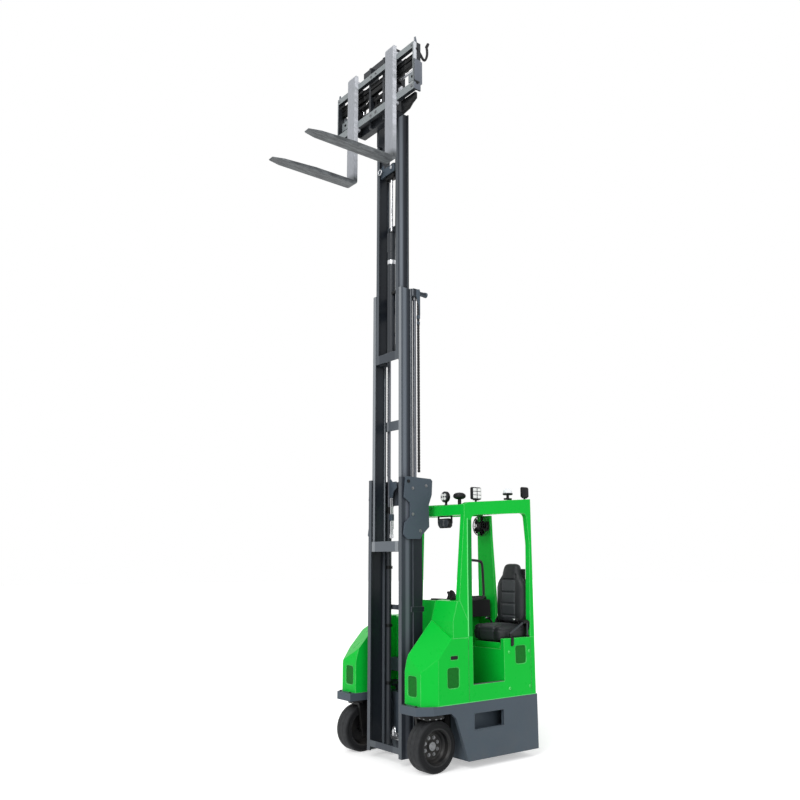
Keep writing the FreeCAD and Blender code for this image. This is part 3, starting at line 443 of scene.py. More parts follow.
# The slot that each finish goes to, unless a piece names another
SLOTS = {}
for slot, finishes in (("tyre_rubber", [tyre]), ("rim_paint", [rim_black]), ("mast_steel", [end_paint, slate]),
                       ("chrome_rod", [bolt_steel, bright_steel, highlight_paint]), ("black_metal", [black_metal]),
                       ("green_paint", [green, shaded_green, highlight_green, mesh_sheet]), ("hose_rubber", [hose_cover]),
                       ("black_plastic", [black_plastic, grey_plastic, mat_rubber]),
                       ("lamp_lens", [lens, smoked, lit_cell, red_plastic])):
    SLOTS.update({finish.name: slot for finish in finishes})


# Mesh helpers: add_ functions work in metres
BOTH = (1, -1)
SIDES = ((1, "left"), (-1, "right"))
LEFT, BACK, AHEAD, UP, DOWN = (1, 0, 0), (0, 1, 0), (0, -1, 0), (0, 0, 1), (0, 0, -1)


def metres(place, side=1):
    """The place in metres, across the truck's middle if side is -1."""
    x, y, z = place
    return Vector((x * side / 1000, y / 1000, z / 1000))


def finished(bm, name, material, body, slot_name, sharp=35, replaced=()):
    """The bmesh as an object with its place in its mesh, riding on a body."""
    bmesh.ops.recalc_face_normals(bm, faces=bm.faces)
    mesh = bpy.data.meshes.new(name)
    bm.to_mesh(mesh)
    bm.free()
    for polygon in mesh.polygons:
        polygon.use_smooth = True
    mesh.set_sharp_from_angle(angle=math.radians(sharp))
    piece = bpy.data.objects.new(name, mesh)
    scene.collection.objects.link(piece)
    mesh.materials.append(material)
    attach(piece, body)
    if replaced:
        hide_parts(*replaced)
    return piece


def blunt(bm, edges, offset, segments=2):
    bmesh.ops.bevel(bm, geom=edges, offset=offset, segments=segments, profile=0.5, affect="EDGES", material=-1)


def edges_of(verts):
    """The edges at the vertices, each once, in an order that is the same each run."""
    return list(dict.fromkeys(e for v in verts for e in v.link_edges))


def add_box(bm, low, high, bevel=0.0):
    low, high = Vector(low), Vector(high)
    place = Matrix.Translation((low + high) / 2) @ Matrix.Diagonal((*(high - low), 1))
    made = bmesh.ops.create_cube(bm, size=1, matrix=place)
    if bevel:
        blunt(bm, edges_of(made["verts"]), bevel)


def add_plate(bm, outline, axis, low, high, bevel=0.0):
    """A flat plate: the outline lies across the named axis and is pulled from low to high along it."""
    k = "xyz".index(axis)
    corners = []
    for a, b in outline:
        place = [a, b]
        place.insert(k, low)
        corners.append(bm.verts.new(place))
    face = bm.faces.new(corners)
    grown = bmesh.ops.extrude_face_region(bm, geom=[face])
    moved = [v for v in grown["geom"] if isinstance(v, bmesh.types.BMVert)]
    shift = Vector((0, 0, 0))
    shift[k] = high - low
    bmesh.ops.translate(bm, vec=shift, verts=moved)
    if bevel:
        blunt(bm, edges_of(corners + moved), bevel)


class Piece:
    """A mesh built up from closed forms. Lengths are given in millimetres; the mesh itself is in metres.

    sides are 1 for the left as given, -1 for the same form across the truck's middle, or BOTH.
    """
    made = []

    def __init__(self, name, material, body="truck", slot=None, sharp=35, replaced=(), sides=(1,)):
        self.bm = bmesh.new()
        self.sides = sides
        self.labels = (name, material, body, slot or SLOTS[material.name], sharp, replaced)
        Piece.made.append(self)

    def box(self, low, high, bevel=0):
        for side in self.sides:
            add_box(self.bm, metres(low, side), metres(high, side), bevel / 1000)

    def plate(self, outline, axis, low, high, bevel=0):
        for side in self.sides:
            along, across = (side, 1) if axis == "x" else (1, side)
            add_plate(self.bm, [(a * across / 1000, b / 1000) for a, b in outline], axis, low * along / 1000,
                      high * along / 1000, bevel / 1000)

    def rod(self, start, end, r0, r1=None, segments=24):
        for side in self.sides:
            middle = (metres(start, side) + metres(end, side)) / 2
            along = metres(end, side) - metres(start, side)
            place = Matrix.Translation(middle) @ along.to_track_quat("Z", "Y").to_matrix().to_4x4()
            bmesh.ops.create_cone(self.bm, cap_ends=True, segments=segments, radius1=r0 / 1000,
                                  radius2=(r0 if r1 is None else r1) / 1000, depth=along.length, matrix=place)

    def bolt(self, place, axis, size):
        """Hexagon head on a washer; size is the head's width over its corners."""
        p, d = Vector(place), Vector(axis)
        self.rod(p - d * 2, p + d * size * 0.12, size * 0.72, segments=16)
        self.rod(p, p + d * size * 0.5, size * 0.5, size * 0.46, 6)

    def lathe(self, profile, centre, axis, steps=72):
        """Spins a closed profile of (along, radius) points about an axis through the centre."""
        axis = Vector(axis).normalized()
        out = axis.orthogonal().normalized()
        for side in self.sides:
            middle = metres(centre, side)
            ring = [self.bm.verts.new(middle + axis * (a / 1000) + out * (r / 1000)) for a, r in profile]
            edges = [self.bm.edges.new(ends) for ends in zip(ring, ring[1:] + ring[:1])]
            bmesh.ops.spin(self.bm, geom=ring + edges, cent=middle, axis=axis, angle=2 * math.pi, steps=steps,
                           use_merge=True)
        bmesh.ops.remove_doubles(self.bm, verts=self.bm.verts, dist=0.00001)

    def ring(self, centre, axis, radius, thick):
        """A round wire ring about an axis."""
        turns = [2 * math.pi * i / 8 for i in range(8)]
        self.lathe([(thick * math.cos(a), radius + thick * math.sin(a)) for a in turns], centre, axis, 40)

    def tube(self, points, radius, segments=12):
        """A smooth tube along a NURBS line through a few points."""
        curve = bpy.data.curves.new("line", "CURVE")
        curve.dimensions = "3D"
        curve.bevel_depth = radius / 1000
        curve.bevel_resolution = segments // 4 - 1
        curve.use_fill_caps = True
        spline = curve.splines.new("NURBS")
        spline.points.add(len(points) - 1)
        for point, place in zip(spline.points, points):
            point.co = (*metres(place, self.sides[0]), 1)
        spline.order_u = 3
        spline.use_endpoint_u = True
        spline.resolution_u = 6
        holder = bpy.data.objects.new("line", curve)
        scene.collection.objects.link(holder)
        mesh = bpy.data.meshes.new_from_object(holder.evaluated_get(bpy.context.evaluated_depsgraph_get()))
        self.bm.from_mesh(mesh)
        bpy.data.objects.remove(holder)
        bpy.data.meshes.remove(mesh)

    def vent(self, centre, width, height, facing, corner):
        """A flat sheet with round corners, 4 mm thick, facing along x or y."""
        size = (4, width, height) if facing == "x" else (width, 4, height)
        axis = "xy".index(facing)
        for side in self.sides:
            place = Matrix.Translation(metres(centre, side)) @ Matrix.Diagonal((*metres(size), 1))
            made = bmesh.ops.create_cube(self.bm, size=1, matrix=place)
            edges = [e for e in edges_of(made["verts"]) if abs(e.verts[0].co[axis] - e.verts[1].co[axis]) > 0.003]
            blunt(self.bm, edges, corner / 1000, 6)

    def oval(self, centre, size, rings):
        """A flattened ball, leaning sideways as the mirror does."""
        place = Matrix.Translation(metres(centre)) @ Matrix.Rotation(math.radians(-32), 4, "Y")
        bmesh.ops.create_uvsphere(self.bm, u_segments=32, v_segments=rings, radius=1,
                                  matrix=place @ Matrix.Diagonal((*metres(size), 1)))


def around(count, start=0.0):
    """Equal turns of a full circle, in radians."""
    return [2 * math.pi * (i + start) / count for i in range(count)]


def make_wheel(label, node, x, y, half, side, body):
    """A tyre and a dished rim with lip, well, hub cap and nuts; side is the way that the open face looks."""
    r = WHEEL_R
    p = Piece(label + "_tyre", tyre, body, sharp=30, replaced=[node + "_tyre"])
    flank = [(-half, BEAD_R), (-half, r - 40), (-half + 2, r - 36), (-half + 2, r - 30), (-half, r - 26),
             (-half + 2, r - 16), (-half + 7, r - 7.5), (-half + 13, r - 2.5), (-half + 22, r),
             (-half * 0.34, r), (-half * 0.30, r - 4), (-half * 0.26, r)]
    p.lathe(flank + [(-a, b) for a, b in reversed(flank)], (x, y, r), LEFT, 96)
    across = p.bm.loops.layers.uv.new("across")
    for face in p.bm.faces:
        for loop in face.loops:
            reach = math.hypot(loop.vert.co.y - y / 1000, loop.vert.co.z - r / 1000)
            loop[across].uv = (max(0.0, min(1.0, (reach - r / 1000 + 0.012) / 0.010)), 0.0)
    p = Piece(label + "_rim", rim_black, body, sharp=30, replaced=[node + "_rim"])
    dish = [(-half, BEAD_R), (half, BEAD_R), (half, 139), (half - 6, 137), (half - 14, 128), (half - 50, 122),
            (half - 58, 112), (4, 104), (0, 98), (0, 47), (6, 43), (6, 34), (-16, 34), (-16, 112), (-half, 138)]
    p.lathe([(a * side, b) for a, b in dish], (x, y, r), LEFT, 72)
    p = Piece(label + "_rim_nuts", bolt_steel, body, slot="rim_paint", sharp=30)
    cap = [(0, 0), (0, 36), (16, 36), (19, 33), (19, 22), (23, 18), (23, 0)]
    p.lathe([(a * side, b) for a, b in cap], (x, y, r), LEFT, 40)
    for a in around(8, 0.5):
        p.bolt((x + side, y + 70 * math.cos(a), r + 70 * math.sin(a)), (side, 0, 0), 21)


def make_wheels():
    for side, label in SIDES:
        x, y = FRONT_WHEEL[0] * side, FRONT_WHEEL[1]
        make_wheel(label + "_front", label, x, y, 80, side, label + "_wheel")
        p = Piece(label + "_slew_bolts", bolt_steel, label + "_knuckle_body", sharp=30)
        for a in around(12, 0.5):
            p.bolt((x + 100 * math.cos(a), y + 100 * math.sin(a), 431.5), DOWN, 18)
    make_wheel("rear", "drive", *REAR_WHEEL, 70, 1, "drive_wheel")


# Vents in the sunk recesses of the fenders and the left wall
def make_vents():
    for side, label in SIDES:
        p = Piece(label + "_fender_vents", mesh_sheet, sides=[side])
        p.vent((458, FENDER_VENT_Y - 2, 675), 110, 156, "y", 20)
        p.vent((SIDE_VENT_X + 2, 174, 737.5), 122, 155, "x", 20)
        p = Piece(label + "_fender_slot", black_plastic, sides=[side])
        p.vent((SIDE_VENT_X + 3, 187.5, 897), 79, 26, "x", 9)
    p = Piece("cab_side_vent", mesh_sheet)
    p.vent((SIDE_VENT_X + 2, 974, 876), 126, 148, "x", 20)


# Carriage fittings: end covers, near-white strips and blocks of painted highlight, fork positioner cylinders, brackets,
# hoses and bolts
def make_carriage():
    body = "carriage_body"
    for side, label in SIDES:
        p = Piece(label + "_end_cover", end_paint, body, sides=[side])
        p.box((639, -222, 5993), (643, -143, 6060), 1)
        block = [(-215, 6090), (-215, 6290), (-205, 6300), (-143, 6300), (-143, 6080), (-205, 6080)]
        p.plate(block, "x", 639, 643.5, 2)
        step = [(-150, 6055), (-150, 6300), (-122, 6290), (-122, 6065)]
        p.plate(step, "x", 606, 642.5, 2)
        p.plate([(-210, 6478), (-210, 6530), (-196, 6538), (-180, 6478)], "x", 628, 640, 1)
        p.box((500, -176, 6125), (628, -168, 6215), 2)
        p = Piece(label + "_lower_hanger", black_metal, body, sides=[side])
        hanger = [(390, 5991), (605, 5991), (605, 5930), (545, 5905), (500, 5872), (400, 5858)]
        p.plate(hanger, "y", -180, -152, 3)
        for z in (6060, 6410):
            p.bolt((643, -185, z), LEFT, 20)
        p.bolt((560, -176, 6170), AHEAD, 20)
        p.box((30, -80, 6050), (260, -70, 6300), 3)
        # Painted highlight: a near-white strip on the end cover and a near-white block
        p = Piece(label + "_highlight_strip", highlight_paint, body, sides=[side])
        p.box((637, -224.5, 6300), (643.2, -190, 6478), 1)
        p.box((340, -180, 6085), (400, -156, 6150), 4)
    p = Piece("positioner_barrels", black_metal, body)
    for z, s in ((6235, 1), (6150, -1)):
        p.rod((-316 * s, -140, z), (50 * s, -140, z), 21)
        p.rod((20 * s, -140, z), (62 * s, -140, z), 25)
        p.rod((-290 * s, -140, z), (-270 * s, -140, z), 25)
        p.box((300 * s - 12, -160, z - 22), (300 * s + 12, -100, z + 22), 3)
        p.box((345 * s - 12, -180, z - 20), (345 * s + 12, -146, z + 20), 3)
    for x in (-60, 60):
        p.box((x - 10, -150, 6040), (x + 10, -84, 6300), 2)
    for z in (6375, 6310):
        p.box((-626, -182, z - 25), (626, -144, z + 25), 3)
        for x in (-450, -220, 220, 450):
            p.box((x - 20, -186, z - 28), (x + 20, -140, z + 28), 3)
    p = Piece("positioner_rods", bright_steel, body)
    for z, s in ((6235, 1), (6150, -1)):
        p.rod((55 * s, -140, z), (318 * s, -140, z), 11)
        p.rod((334 * s, -163, z), (627 * s, -163, z), 12)
    for x in (-280, 20, 240):
        p.rod((x, -140, 6170), (x, -140, 6205), 9, segments=12)
    p = Piece("carriage_bolts", bolt_steel, body)
    for x in (-612, -40, 40, 612):
        p.bolt((x, -225, 6028), AHEAD, 24)
        p.bolt((x, -225, 6449), AHEAD, 20)
    p = Piece("carriage_hoses", hose_cover, body)
    runs = [[(240, -140, 6205), (240, -125, 6160), (300, -150, 6100), (400, -158, 6080), (420, -160, 5995)],
            [(-280, -140, 6200), (-280, -120, 6270), (-200, -105, 6330), (-100, -100, 6300), (-50, -100, 6050)],
            [(340, -140, 6220), (380, -152, 6160), (460, -156, 6100), (560, -156, 6120), (610, -156, 6170)],
            [(20, -140, 6190), (20, -120, 6130), (-20, -105, 6080), (-30, -100, 5980)],
            [(-340, -140, 6160), (-380, -152, 6100), (-460, -156, 6090), (-560, -156, 6120), (-610, -156, 6170)]]
    for run in runs:
        p.tube(run, 7.5)
    p = Piece("end_hose", hose_cover, body)
    hook = [(628, -150, 6395), (630, -128, 6375), (632, -108, 6338), (632, -80, 6330), (632, -52, 6392),
            (632, -52, 6455), (632, -62, 6490), (632, -40, 6524)]
    p.tube(hook, 12)
    p.rod((632, -60, 6482), (632, -40, 6524), 15, 14)
    p.rod((628, -160, 6405), (628, -138, 6383), 14)
    for side, label in SIDES:
        p = Piece(label + "_fork_latch", bolt_steel, label + "_fork_body", sides=[side])
        p.box((292, -246, 6564.5), (348, -229, 6571), 2)
        p.rod((320, -211, 6506), (320, -211, 6540), 12)
        p.rod((302, -211, 6540), (338, -211, 6540), 6, segments=12)


# Mast fittings on each stage
def make_mast_fittings():
    p = Piece("lift_barrel_bands", black_metal, "outer_stage", sides=BOTH)
    for z, h in ((600, 30), (1100, 30), (1620, 30), (2130, 58)):
        band = [(0, 24.5), (0, 26.2), (h, 26.2), (h, 24.5)]
        p.lathe(band, (*LIFT_BARREL, z), UP, 32)
        if h < 50:
            p.box((183, 155, z + 2), (207, 166, z + 28), 2)
    p = Piece("foot_fittings", bright_steel, "outer_stage")
    p.box((-225, 146, 149), (-120, 178, 182), 3)
    for x, top, r in ((-150, 214, 13), (-205, 205, 12)):
        p.rod((x, 150, 178), (x, 150, top), r, segments=6)
    p.tube([(-150, 150, 205), (-150, 150, 245), (-110, 140, 250), (-95, 135, 200), (-60, 131, 165), (0, 131, 160),
            (172, 131, 160)], 7.5)
    p.rod((-118, 152, 166), (-70, 152, 166), 10, segments=6)
    p.box((-130, 112, 152), (70, 130, 182), 4)
    for x in (-110, 50):
        p.rod((x, 124, 178), (x, 124, 232), 13, segments=6)
    p.rod((-135, 124, 205), (80, 124, 205), 8)
    p.rod((145, 131, 160), (175, 131, 160), 12, segments=6)
    p.box((-85, 146, 149), (-30, 172, 172), 3)
    p = Piece("side_plate_bolts", bolt_steel, "outer_stage", sides=BOTH)
    for y, z in ((45, 2330), (45, 2100), (200, 2360), (130, 1955)):
        p.bolt((PLATE_X, y, z), LEFT, 20)
    for y in (85, 150):
        p.bolt((262, y, 620), LEFT, 18)
    p = Piece("side_plate_plugs", black_plastic, "outer_stage", sides=BOTH)
    p.rod((PLATE_X, -5, 2390), (PLATE_X + 8.5, -5, 2390), 14.5)
    p.rod((273.5, 150, 610), (296, 150, 610), 12.5)
    p = Piece("ribbed_hoses", hose_cover, "middle_stage", sharp=50, replaced=["mast_hoses"], sides=BOTH)
    ribs = 62
    low, high = 2482, 4150
    step = (high - low) / ribs
    profile = [(0, 0)]
    for i in range(ribs):
        z = i * step
        profile += [(z, 10.5), (z + step * 0.2, 13), (z + step * 0.75, 13), (z + step * 0.95, 10.5)]
    profile += [(high - low, 0)]
    p.lathe(profile, (231, 150, low), UP, 12)
    p = Piece("hose_guides", slate, "middle_stage", sides=BOTH)
    guide = [(118, 4150), (118, 4215), (155, 4222), (162.5, 4205), (162.5, 3965), (150, 3960), (146, 4060), (132, 4110)]
    p.plate(guide, "x", 236.5, 246.5, 1)
    p.rod((216, 143, 4186), (247, 143, 4186), 16)
    p.rod((218, 236, 4188), (218, 258, 4188), 25.5)
    p.box((222, 134, 3930), (246.5, 162, 3965), 3)
    p.box((224, 136, 3875), (243, 162, 3905), 3)
    p = Piece("lift_rod_collars", bolt_steel, "middle_stage", sides=BOTH)
    p.rod((*LIFT_BARREL, 4118), (*LIFT_BARREL, 4152), 24)
    for y in (104.5, 148):
        p.bolt((150, y, 4220), UP, 20)
    p = Piece("chain_hangers", slate, "middle_stage", sides=BOTH)
    hanger = [(-166, 2330), (-166, 2420), (-150, 2450), (-120, 2420), (-60, 2420), (-50, 2360), (-100, 2330),
            (-120, 2270), (-160, 2270)]
    p.plate(hanger, "y", 108.5, 120.5, 3)
    p.box((-166, 108.5, 2060), (-120, 136, 2120), 4)
    p = Piece("chain_anchors", bright_steel, "middle_stage", sides=BOTH)
    for x in (130, 155):
        p.rod((x, 122, 1905), (x, 122, 2062), 7.5, segments=16)
        p.rod((x, 122, 1900), (x, 122, 1935), 12, segments=6)
        p.rod((x, 122, 2120), (x, 118, 2275), 6, segments=16)
    p = Piece("free_lift_rod", bright_steel, "inner_stage")
    p.rod((-16, 22, 4512), (-16, 22, 4553), 43.5, segments=40)
    p.rod((-16, 22, 4828), (-16, 22, 5430), 13, segments=24)
    p.rod((72, 22, 3700), (72, 22, 4762), 18.8, segments=32)
    p.rod((72, 22, 4760), (72, 22, 5415), 9, segments=16)
    p = Piece("free_lift_clamps", black_metal, "inner_stage", replaced=["feed_pipe"])
    p.rod((-16, 22, 4828), (-16, 22, 4850), 30, segments=32)
    p.tube([(20, 42, 4826), (22, 42, 5000), (26, 42, 5300), (30, 42, 5500)], 7.5)
    for z in (3800, 4200, 4700):
        p.box((-30, 56, z), (86, 74, z + 30), 3)
    p.box((18, -8, 4200), (82, 52, 4225), 3)
    p = Piece("chain_sheaves", black_metal, "inner_stage")
    p.box((-85, -10, 5405), (50, 52, 5475), 6)
    for x in (-60, 28):
        p.rod((x - 10, 22, 5520), (x + 10, 22, 5520), 46, segments=32)
        for gap in (-16, 11):
            p.box((x + gap, 10, 5440), (x + gap + 5, 34, 5540), 1)
    p = Piece("sheave_plate", slate, "inner_stage")
    plate = [(-135, 5440), (-145, 5500), (-130, 5560), (-95, 5572), (-85, 5530), (85, 5530), (85, 5455)]
    p.plate(plate, "y", -28, -12, 3)
    p.box((-135, -30, 5470), (-110, 40, 5530), 3)
    p.rod((-118, -50, 5500), (-118, -26, 5500), 34, segments=32)
    p = Piece("sheave_pins", bright_steel, "inner_stage")
    for x in (-60, 28):
        p.rod((x - 18.5, 22, 5520), (x + 18.5, 22, 5520), 14, segments=20)
        p.lathe([(-9, 36), (-9, 47), (9, 47), (9, 36)], (x, 22, 5520), LEFT, 32)
    p.ring((-118, -52, 5500), BACK, 26, 6)
    p.rod((52, -45, 5492), (52, -27, 5492), 16)
    p = Piece("wear_pads", grey_plastic, "outer_stage", sides=BOTH)
    for z in (1830, 2360):
        p.box((206.5, -30, z), (216, 70, z + 50), 2)


# Seat: padded cushion and back, swollen by a short cloth run, then stitched. All of it but the shell is in metres
def evaluated(holder):
    return holder.evaluated_get(bpy.context.evaluated_depsgraph_get())


def swollen(bm, cap, voxel=0.007):
    """The closed form remeshed and blown up a little; no point moves further than the cap."""
    mesh = bpy.data.meshes.new("pad")
    bm.to_mesh(mesh)
    bm.free()
    rough = bpy.data.objects.new("pad", mesh)
    scene.collection.objects.link(rough)
    remesh = rough.modifiers.new("even", "REMESH")
    remesh.mode = "VOXEL"
    remesh.voxel_size = voxel
    even = bpy.data.meshes.new_from_object(evaluated(rough))
    bpy.data.objects.remove(rough)
    pad = bpy.data.objects.new("pad", even)
    scene.collection.objects.link(pad)
    moved = None
    cloth = pad.modifiers.new("cloth", "CLOTH").settings
    cloth.use_pressure = True
    cloth.uniform_pressure_force = 4
    cloth.tension_stiffness = 18
    cloth.compression_stiffness = 18
    cloth.bending_stiffness = 4
    cloth.effector_weights.gravity = 0
    for step in range(1, 21):
        scene.frame_set(step)
    moved = [v.co.copy() for v in evaluated(pad).to_mesh().vertices]
    scene.frame_set(1)
    made = bmesh.new()
    made.from_mesh(even)
    made.verts.ensure_lookup_table()
    made.normal_update()
    swell = []
    for v in made.verts:
        out = (moved[v.index] - v.co).dot(v.normal) if moved else cap * 0.6
        swell.append(min(max(out, cap * 0.35), cap))
    # Evened out, so that the pad swells smoothly
    for _ in range(14):
        swell = [(swell[v.index] + sum(swell[e.other_vert(v).index] for e in v.link_edges)) / (1 + len(v.link_edges))
                 for v in made.verts]
    for v in made.verts:
        v.co += v.normal * swell[v.index]
    for _ in range(2):
        bmesh.ops.smooth_vert(made, verts=made.verts, factor=0.5, use_axis_x=True, use_axis_y=True, use_axis_z=True)
    bpy.data.objects.remove(pad)
    bpy.data.meshes.remove(even)
    return made


def pressed_seam(bm, distance_of, facing, depth=0.008, width=0.007):
    """Pulls the cover in along a seam; distance_of gives a point's distance from it, or None away from it."""
    bm.normal_update()
    facing = Vector(facing)
    shifts = []
    for v in bm.verts:
        if v.normal.dot(facing) < 0.35:
            continue
        away = distance_of(v.co)
        if away is not None and away < width * 2.5:
            shifts.append((v, -v.normal * depth * math.exp(-(away / width) ** 2)))
    for v, shift in shifts:
        v.co += shift


def soft_piece(bm, name, node, low, high):
    """The pad as a piece, with every point kept between low and high."""
    for v in bm.verts:
        v.co = Vector([min(max(v.co[k], low[k]), high[k]) for k in range(3)])
    piece = finished(bm, name, hide, "truck", "seat_fabric", 80, [node])
    subdivide = piece.modifiers.new("smooth", "SUBSURF")
    subdivide.levels = 1
    subdivide.render_levels = 1


def make_cushion(mid):
    low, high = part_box("seat_cushion")
    bm = bmesh.new()
    add_box(bm, [a + 0.010 for a in low], [b - 0.010 for b in high], 0.035)
    bm = swollen(bm, 0.022)
    for x in (mid - 0.095, mid + 0.095):
        pressed_seam(bm, lambda p: abs(p.x - x), UP, 0.009)
        pressed_seam(bm, lambda p: abs(p.x - x) if p.z > low[2] + 0.03 else None, AHEAD, 0.006)
    for y in (low[1] + 0.085, low[1] + 0.165):
        pressed_seam(bm, lambda p: abs(p.y - y) if abs(p.x - mid) < 0.095 else None, UP, 0.006)
    for facing in ((-1, 0, 0), LEFT, AHEAD):
        pressed_seam(bm, lambda p: abs(p.z - high[2] + 0.045), facing, 0.005)
    soft_piece(bm, "seat_pad", "seat_cushion", [a - 0.006 for a in low[:2]] + [low[2]],
               (high[0] + 0.003, high[1] + 0.006, high[2] + 0.004))


def make_back(mid):
    low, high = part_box("seat_back")
    outline = [(-0.150, 0.012), (0.150, 0.012), (0.163, 0.100), (0.165, 0.330), (0.150, 0.380), (0.112, 0.425),
               (0.094, 0.515), (0.070, 0.532), (-0.040, 0.532), (-0.066, 0.515), (-0.098, 0.425), (-0.143, 0.380),
               (-0.162, 0.330), (-0.163, 0.100)]
    slope = 0.032
    bm = bmesh.new()
    add_plate(bm, [(mid + x, low[2] + z) for x, z in outline], "y", 1.064, 1.130, 0.022)
    lean = Matrix.Shear("XY", 4, (0, 0))
    lean[1][2] = slope
    bmesh.ops.transform(bm, matrix=Matrix.Translation((0, -slope * low[2], 0)) @ lean, verts=bm.verts)
    bm = swollen(bm, 0.016, 0.006)
    top = low[2] + 0.44
    half = SEAT_PANEL_HALF / 1000
    for side in (-1, 1):
        pressed_seam(bm, lambda p: abs(p.x - mid - side * half) if p.z < top else None, AHEAD, 0.010)
    for z in (1.200, 1.305, 1.408, 1.523):
        pressed_seam(bm, lambda p: abs(p.z - z) if abs(p.x - mid) < half else None, AHEAD, 0.012, 0.006)
    soft_piece(bm, "seat_back_pad", "seat_back", [a - 0.004 for a in low[:2]] + [low[2]], [b + 0.006 for b in high])


def make_seat():
    make_cushion(SEAT_MID_X / 1000)
    make_back(SEAT_MID_X / 1000)
    mid = SEAT_MID_X
    p = Piece("seat_shell", black_plastic)
    p.plate([(1128, 1160), (1143, 1160), (1156, 1620), (1141, 1620)], "x", mid - 130, mid + 140, 4)
    for side in (-1, 1):
        x = mid + side * 168
        hinge = [(1020, 1075), (1060, 1060), (1125, 1075), (1130, 1185), (1095, 1200), (1055, 1150)]
        p.plate(hinge, "x", x - 6, x + 6, 3)
        p.rod((x - 10, 1085, 1128), (x + 10, 1085, 1128), 22)
        rib = [(1125, 1130), (1166, 1130), (1166, 1500), (1150, 1530), (1140, 1470)]
        p.plate(rib, "x", mid + side * 135, mid + side * 160, 4)
    p.plate([(1060, 1021), (1150, 1021), (1150, 1110), (1098, 1150), (1060, 1150)], "x", mid + 130, mid + 178, 4)
    p.box((mid - 165, 790, 960), (mid + 165, 1085, 984), 6)
    p.box((mid - 150, 1088, 1060), (mid + 150, 1118, 1165), 6)
    p = Piece("seat_riser", green)
    p.box((249, 788.5, 929.5), (576, 1082, 982), 3)
    p.box((-78, 1098.5, 1019), (-44, 1152, 1179.5), 3)
    p = Piece("belt_buckles", black_plastic)
    for x, y, z, lean in ((mid - 150, 1000, 1128, -0.3), (mid + 150, 1040, 1128, 0.25)):
        p.tube([(x, y, z - 10), (x + lean * 30, y - 12, z + 20), (x + lean * 60, y - 35, z + 45)], 9)
        p.box((x + lean * 60 - 14, y - 62, z + 30), (x + lean * 60 + 14, y - 22, z + 56), 4)
    p = Piece("belt_tongues", bright_steel)
    for x, y, z in ((mid - 160, 937, 1176), (mid + 158, 977, 1176)):
        p.box((x - 10, y - 20, z - 7), (x + 10, y + 6, z + 5), 2)


# Controls, mat and rails in the cab
def make_cab():
    p = Piece("console_pad", black_plastic)
    p.box((5, 800, 1334.5), (135, 1060, 1366), 12)
    p.box((-45, 505, 1334.5), (145, 560, 1352), 5)
    for y in (600, 660, 720):
        boot = [(0, 0), (0, 20), (6, 21), (12, 16), (18, 17), (24, 12), (30, 13), (36, 8), (36, 0)]
        p.lathe(boot, (100, y, 1334.5), UP, 24)
    p.box((-48, 380, 1178), (-20, 506, 1340), 3)
    p = Piece("dash_panel", black_plastic)
    p.plate([(376.5, 1220), (376.5, 1336), (392, 1342), (440, 1315), (452, 1270), (430, 1230)], "x", 150, 520, 6)
    p.box((300, 378, 1120), (360, 440, 1250), 10)
    p = Piece("dash_screen", lens)
    tilt = Matrix.Translation((0.30, 0.417, 1.3295)) @ Matrix.Rotation(math.radians(-29.4), 4, "X")
    for shift, size in ((0, (0.100, 0.038, 0.005, 1)), (0.12, (0.060, 0.030, 0.007, 1))):
        bmesh.ops.create_cube(p.bm, size=1, matrix=tilt @ Matrix.Translation((shift, 0, 0)) @ Matrix.Diagonal(size))
    p = Piece("wheel_hub", black_plastic)
    centre, axis = Vector((330, 510, 1200)), Vector((0, -0.5, 1)).normalized()
    p.lathe([(-12, 0), (-12, 34), (6, 36), (14, 26), (16, 0)], centre, axis, 32)
    away = Vector((1, 0, 0))
    across = axis.cross(away)
    for a in (40, 140):
        d = away * math.cos(math.radians(a)) + across * math.sin(math.radians(a))
        p.rod(centre + d * 20, centre + d * 118, 8, segments=12)
    grip = centre + (away * math.cos(3.6) + across * math.sin(3.6)) * 120
    p.lathe([(8, 0), (8, 12), (24, 15), (40, 22), (52, 18), (56, 0)], grip, axis, 24)
    p = Piece("floor_mat", mat_rubber)
    p.box((-25, 380, 600), (602, 764, 606), 2)
    for i in range(11):
        y = 400 + i * 33
        p.box((-10, y, 605), (590, y + 10, 609), 1)
    p.box((606, 400, 664.5), (644, 764, 668), 1)
    p = Piece("pedals", black_metal)
    for x in (220, 360):
        p.plate([(378, 735), (378, 755), (430, 700), (455, 655), (445, 645), (415, 690)], "x", x, x + 12, 2)
        p.box((x - 28, 425, 648), (x + 40, 470, 660), 4)
    p = Piece("arm_rail_ends", black_plastic)
    p.tube([(625, 1030, 1146), (625, 1062, 1158), (625, 1098, 1152), (627, 1116, 1115), (627, 1116, 1078)], 16)
    p.rod((625, 870, 1019.5), (625, 870, 1058), 16, 13)
    p.plate([(849, 958), (866, 950), (884, 962), (886, 1022), (853, 1022)], "x", 644.5, 654.5, 3)
    p.box((616, 855, 1019.5), (654, 885, 1026.5), 2)
    p.box((612, 1070, 1019.5), (638, 1100, 1034), 3)
    p = Piece("grab_rail_feet", black_metal)
    p.tube([(620, 410, 1699.5), (620, 470, 1696), (620, 525, 1690), (620, 547, 1668), (620, 552, 1600),
            (620, 560, 1400), (620, 550, 1376), (620, 520, 1373.5), (620, 410, 1366)], 11.5, 16)
    for z in (1700, 1365):
        p.box((604, 398, z - 22), (636, 410, z + 22), 3)
        p.bolt((620, 409, z + 13), BACK, 10)


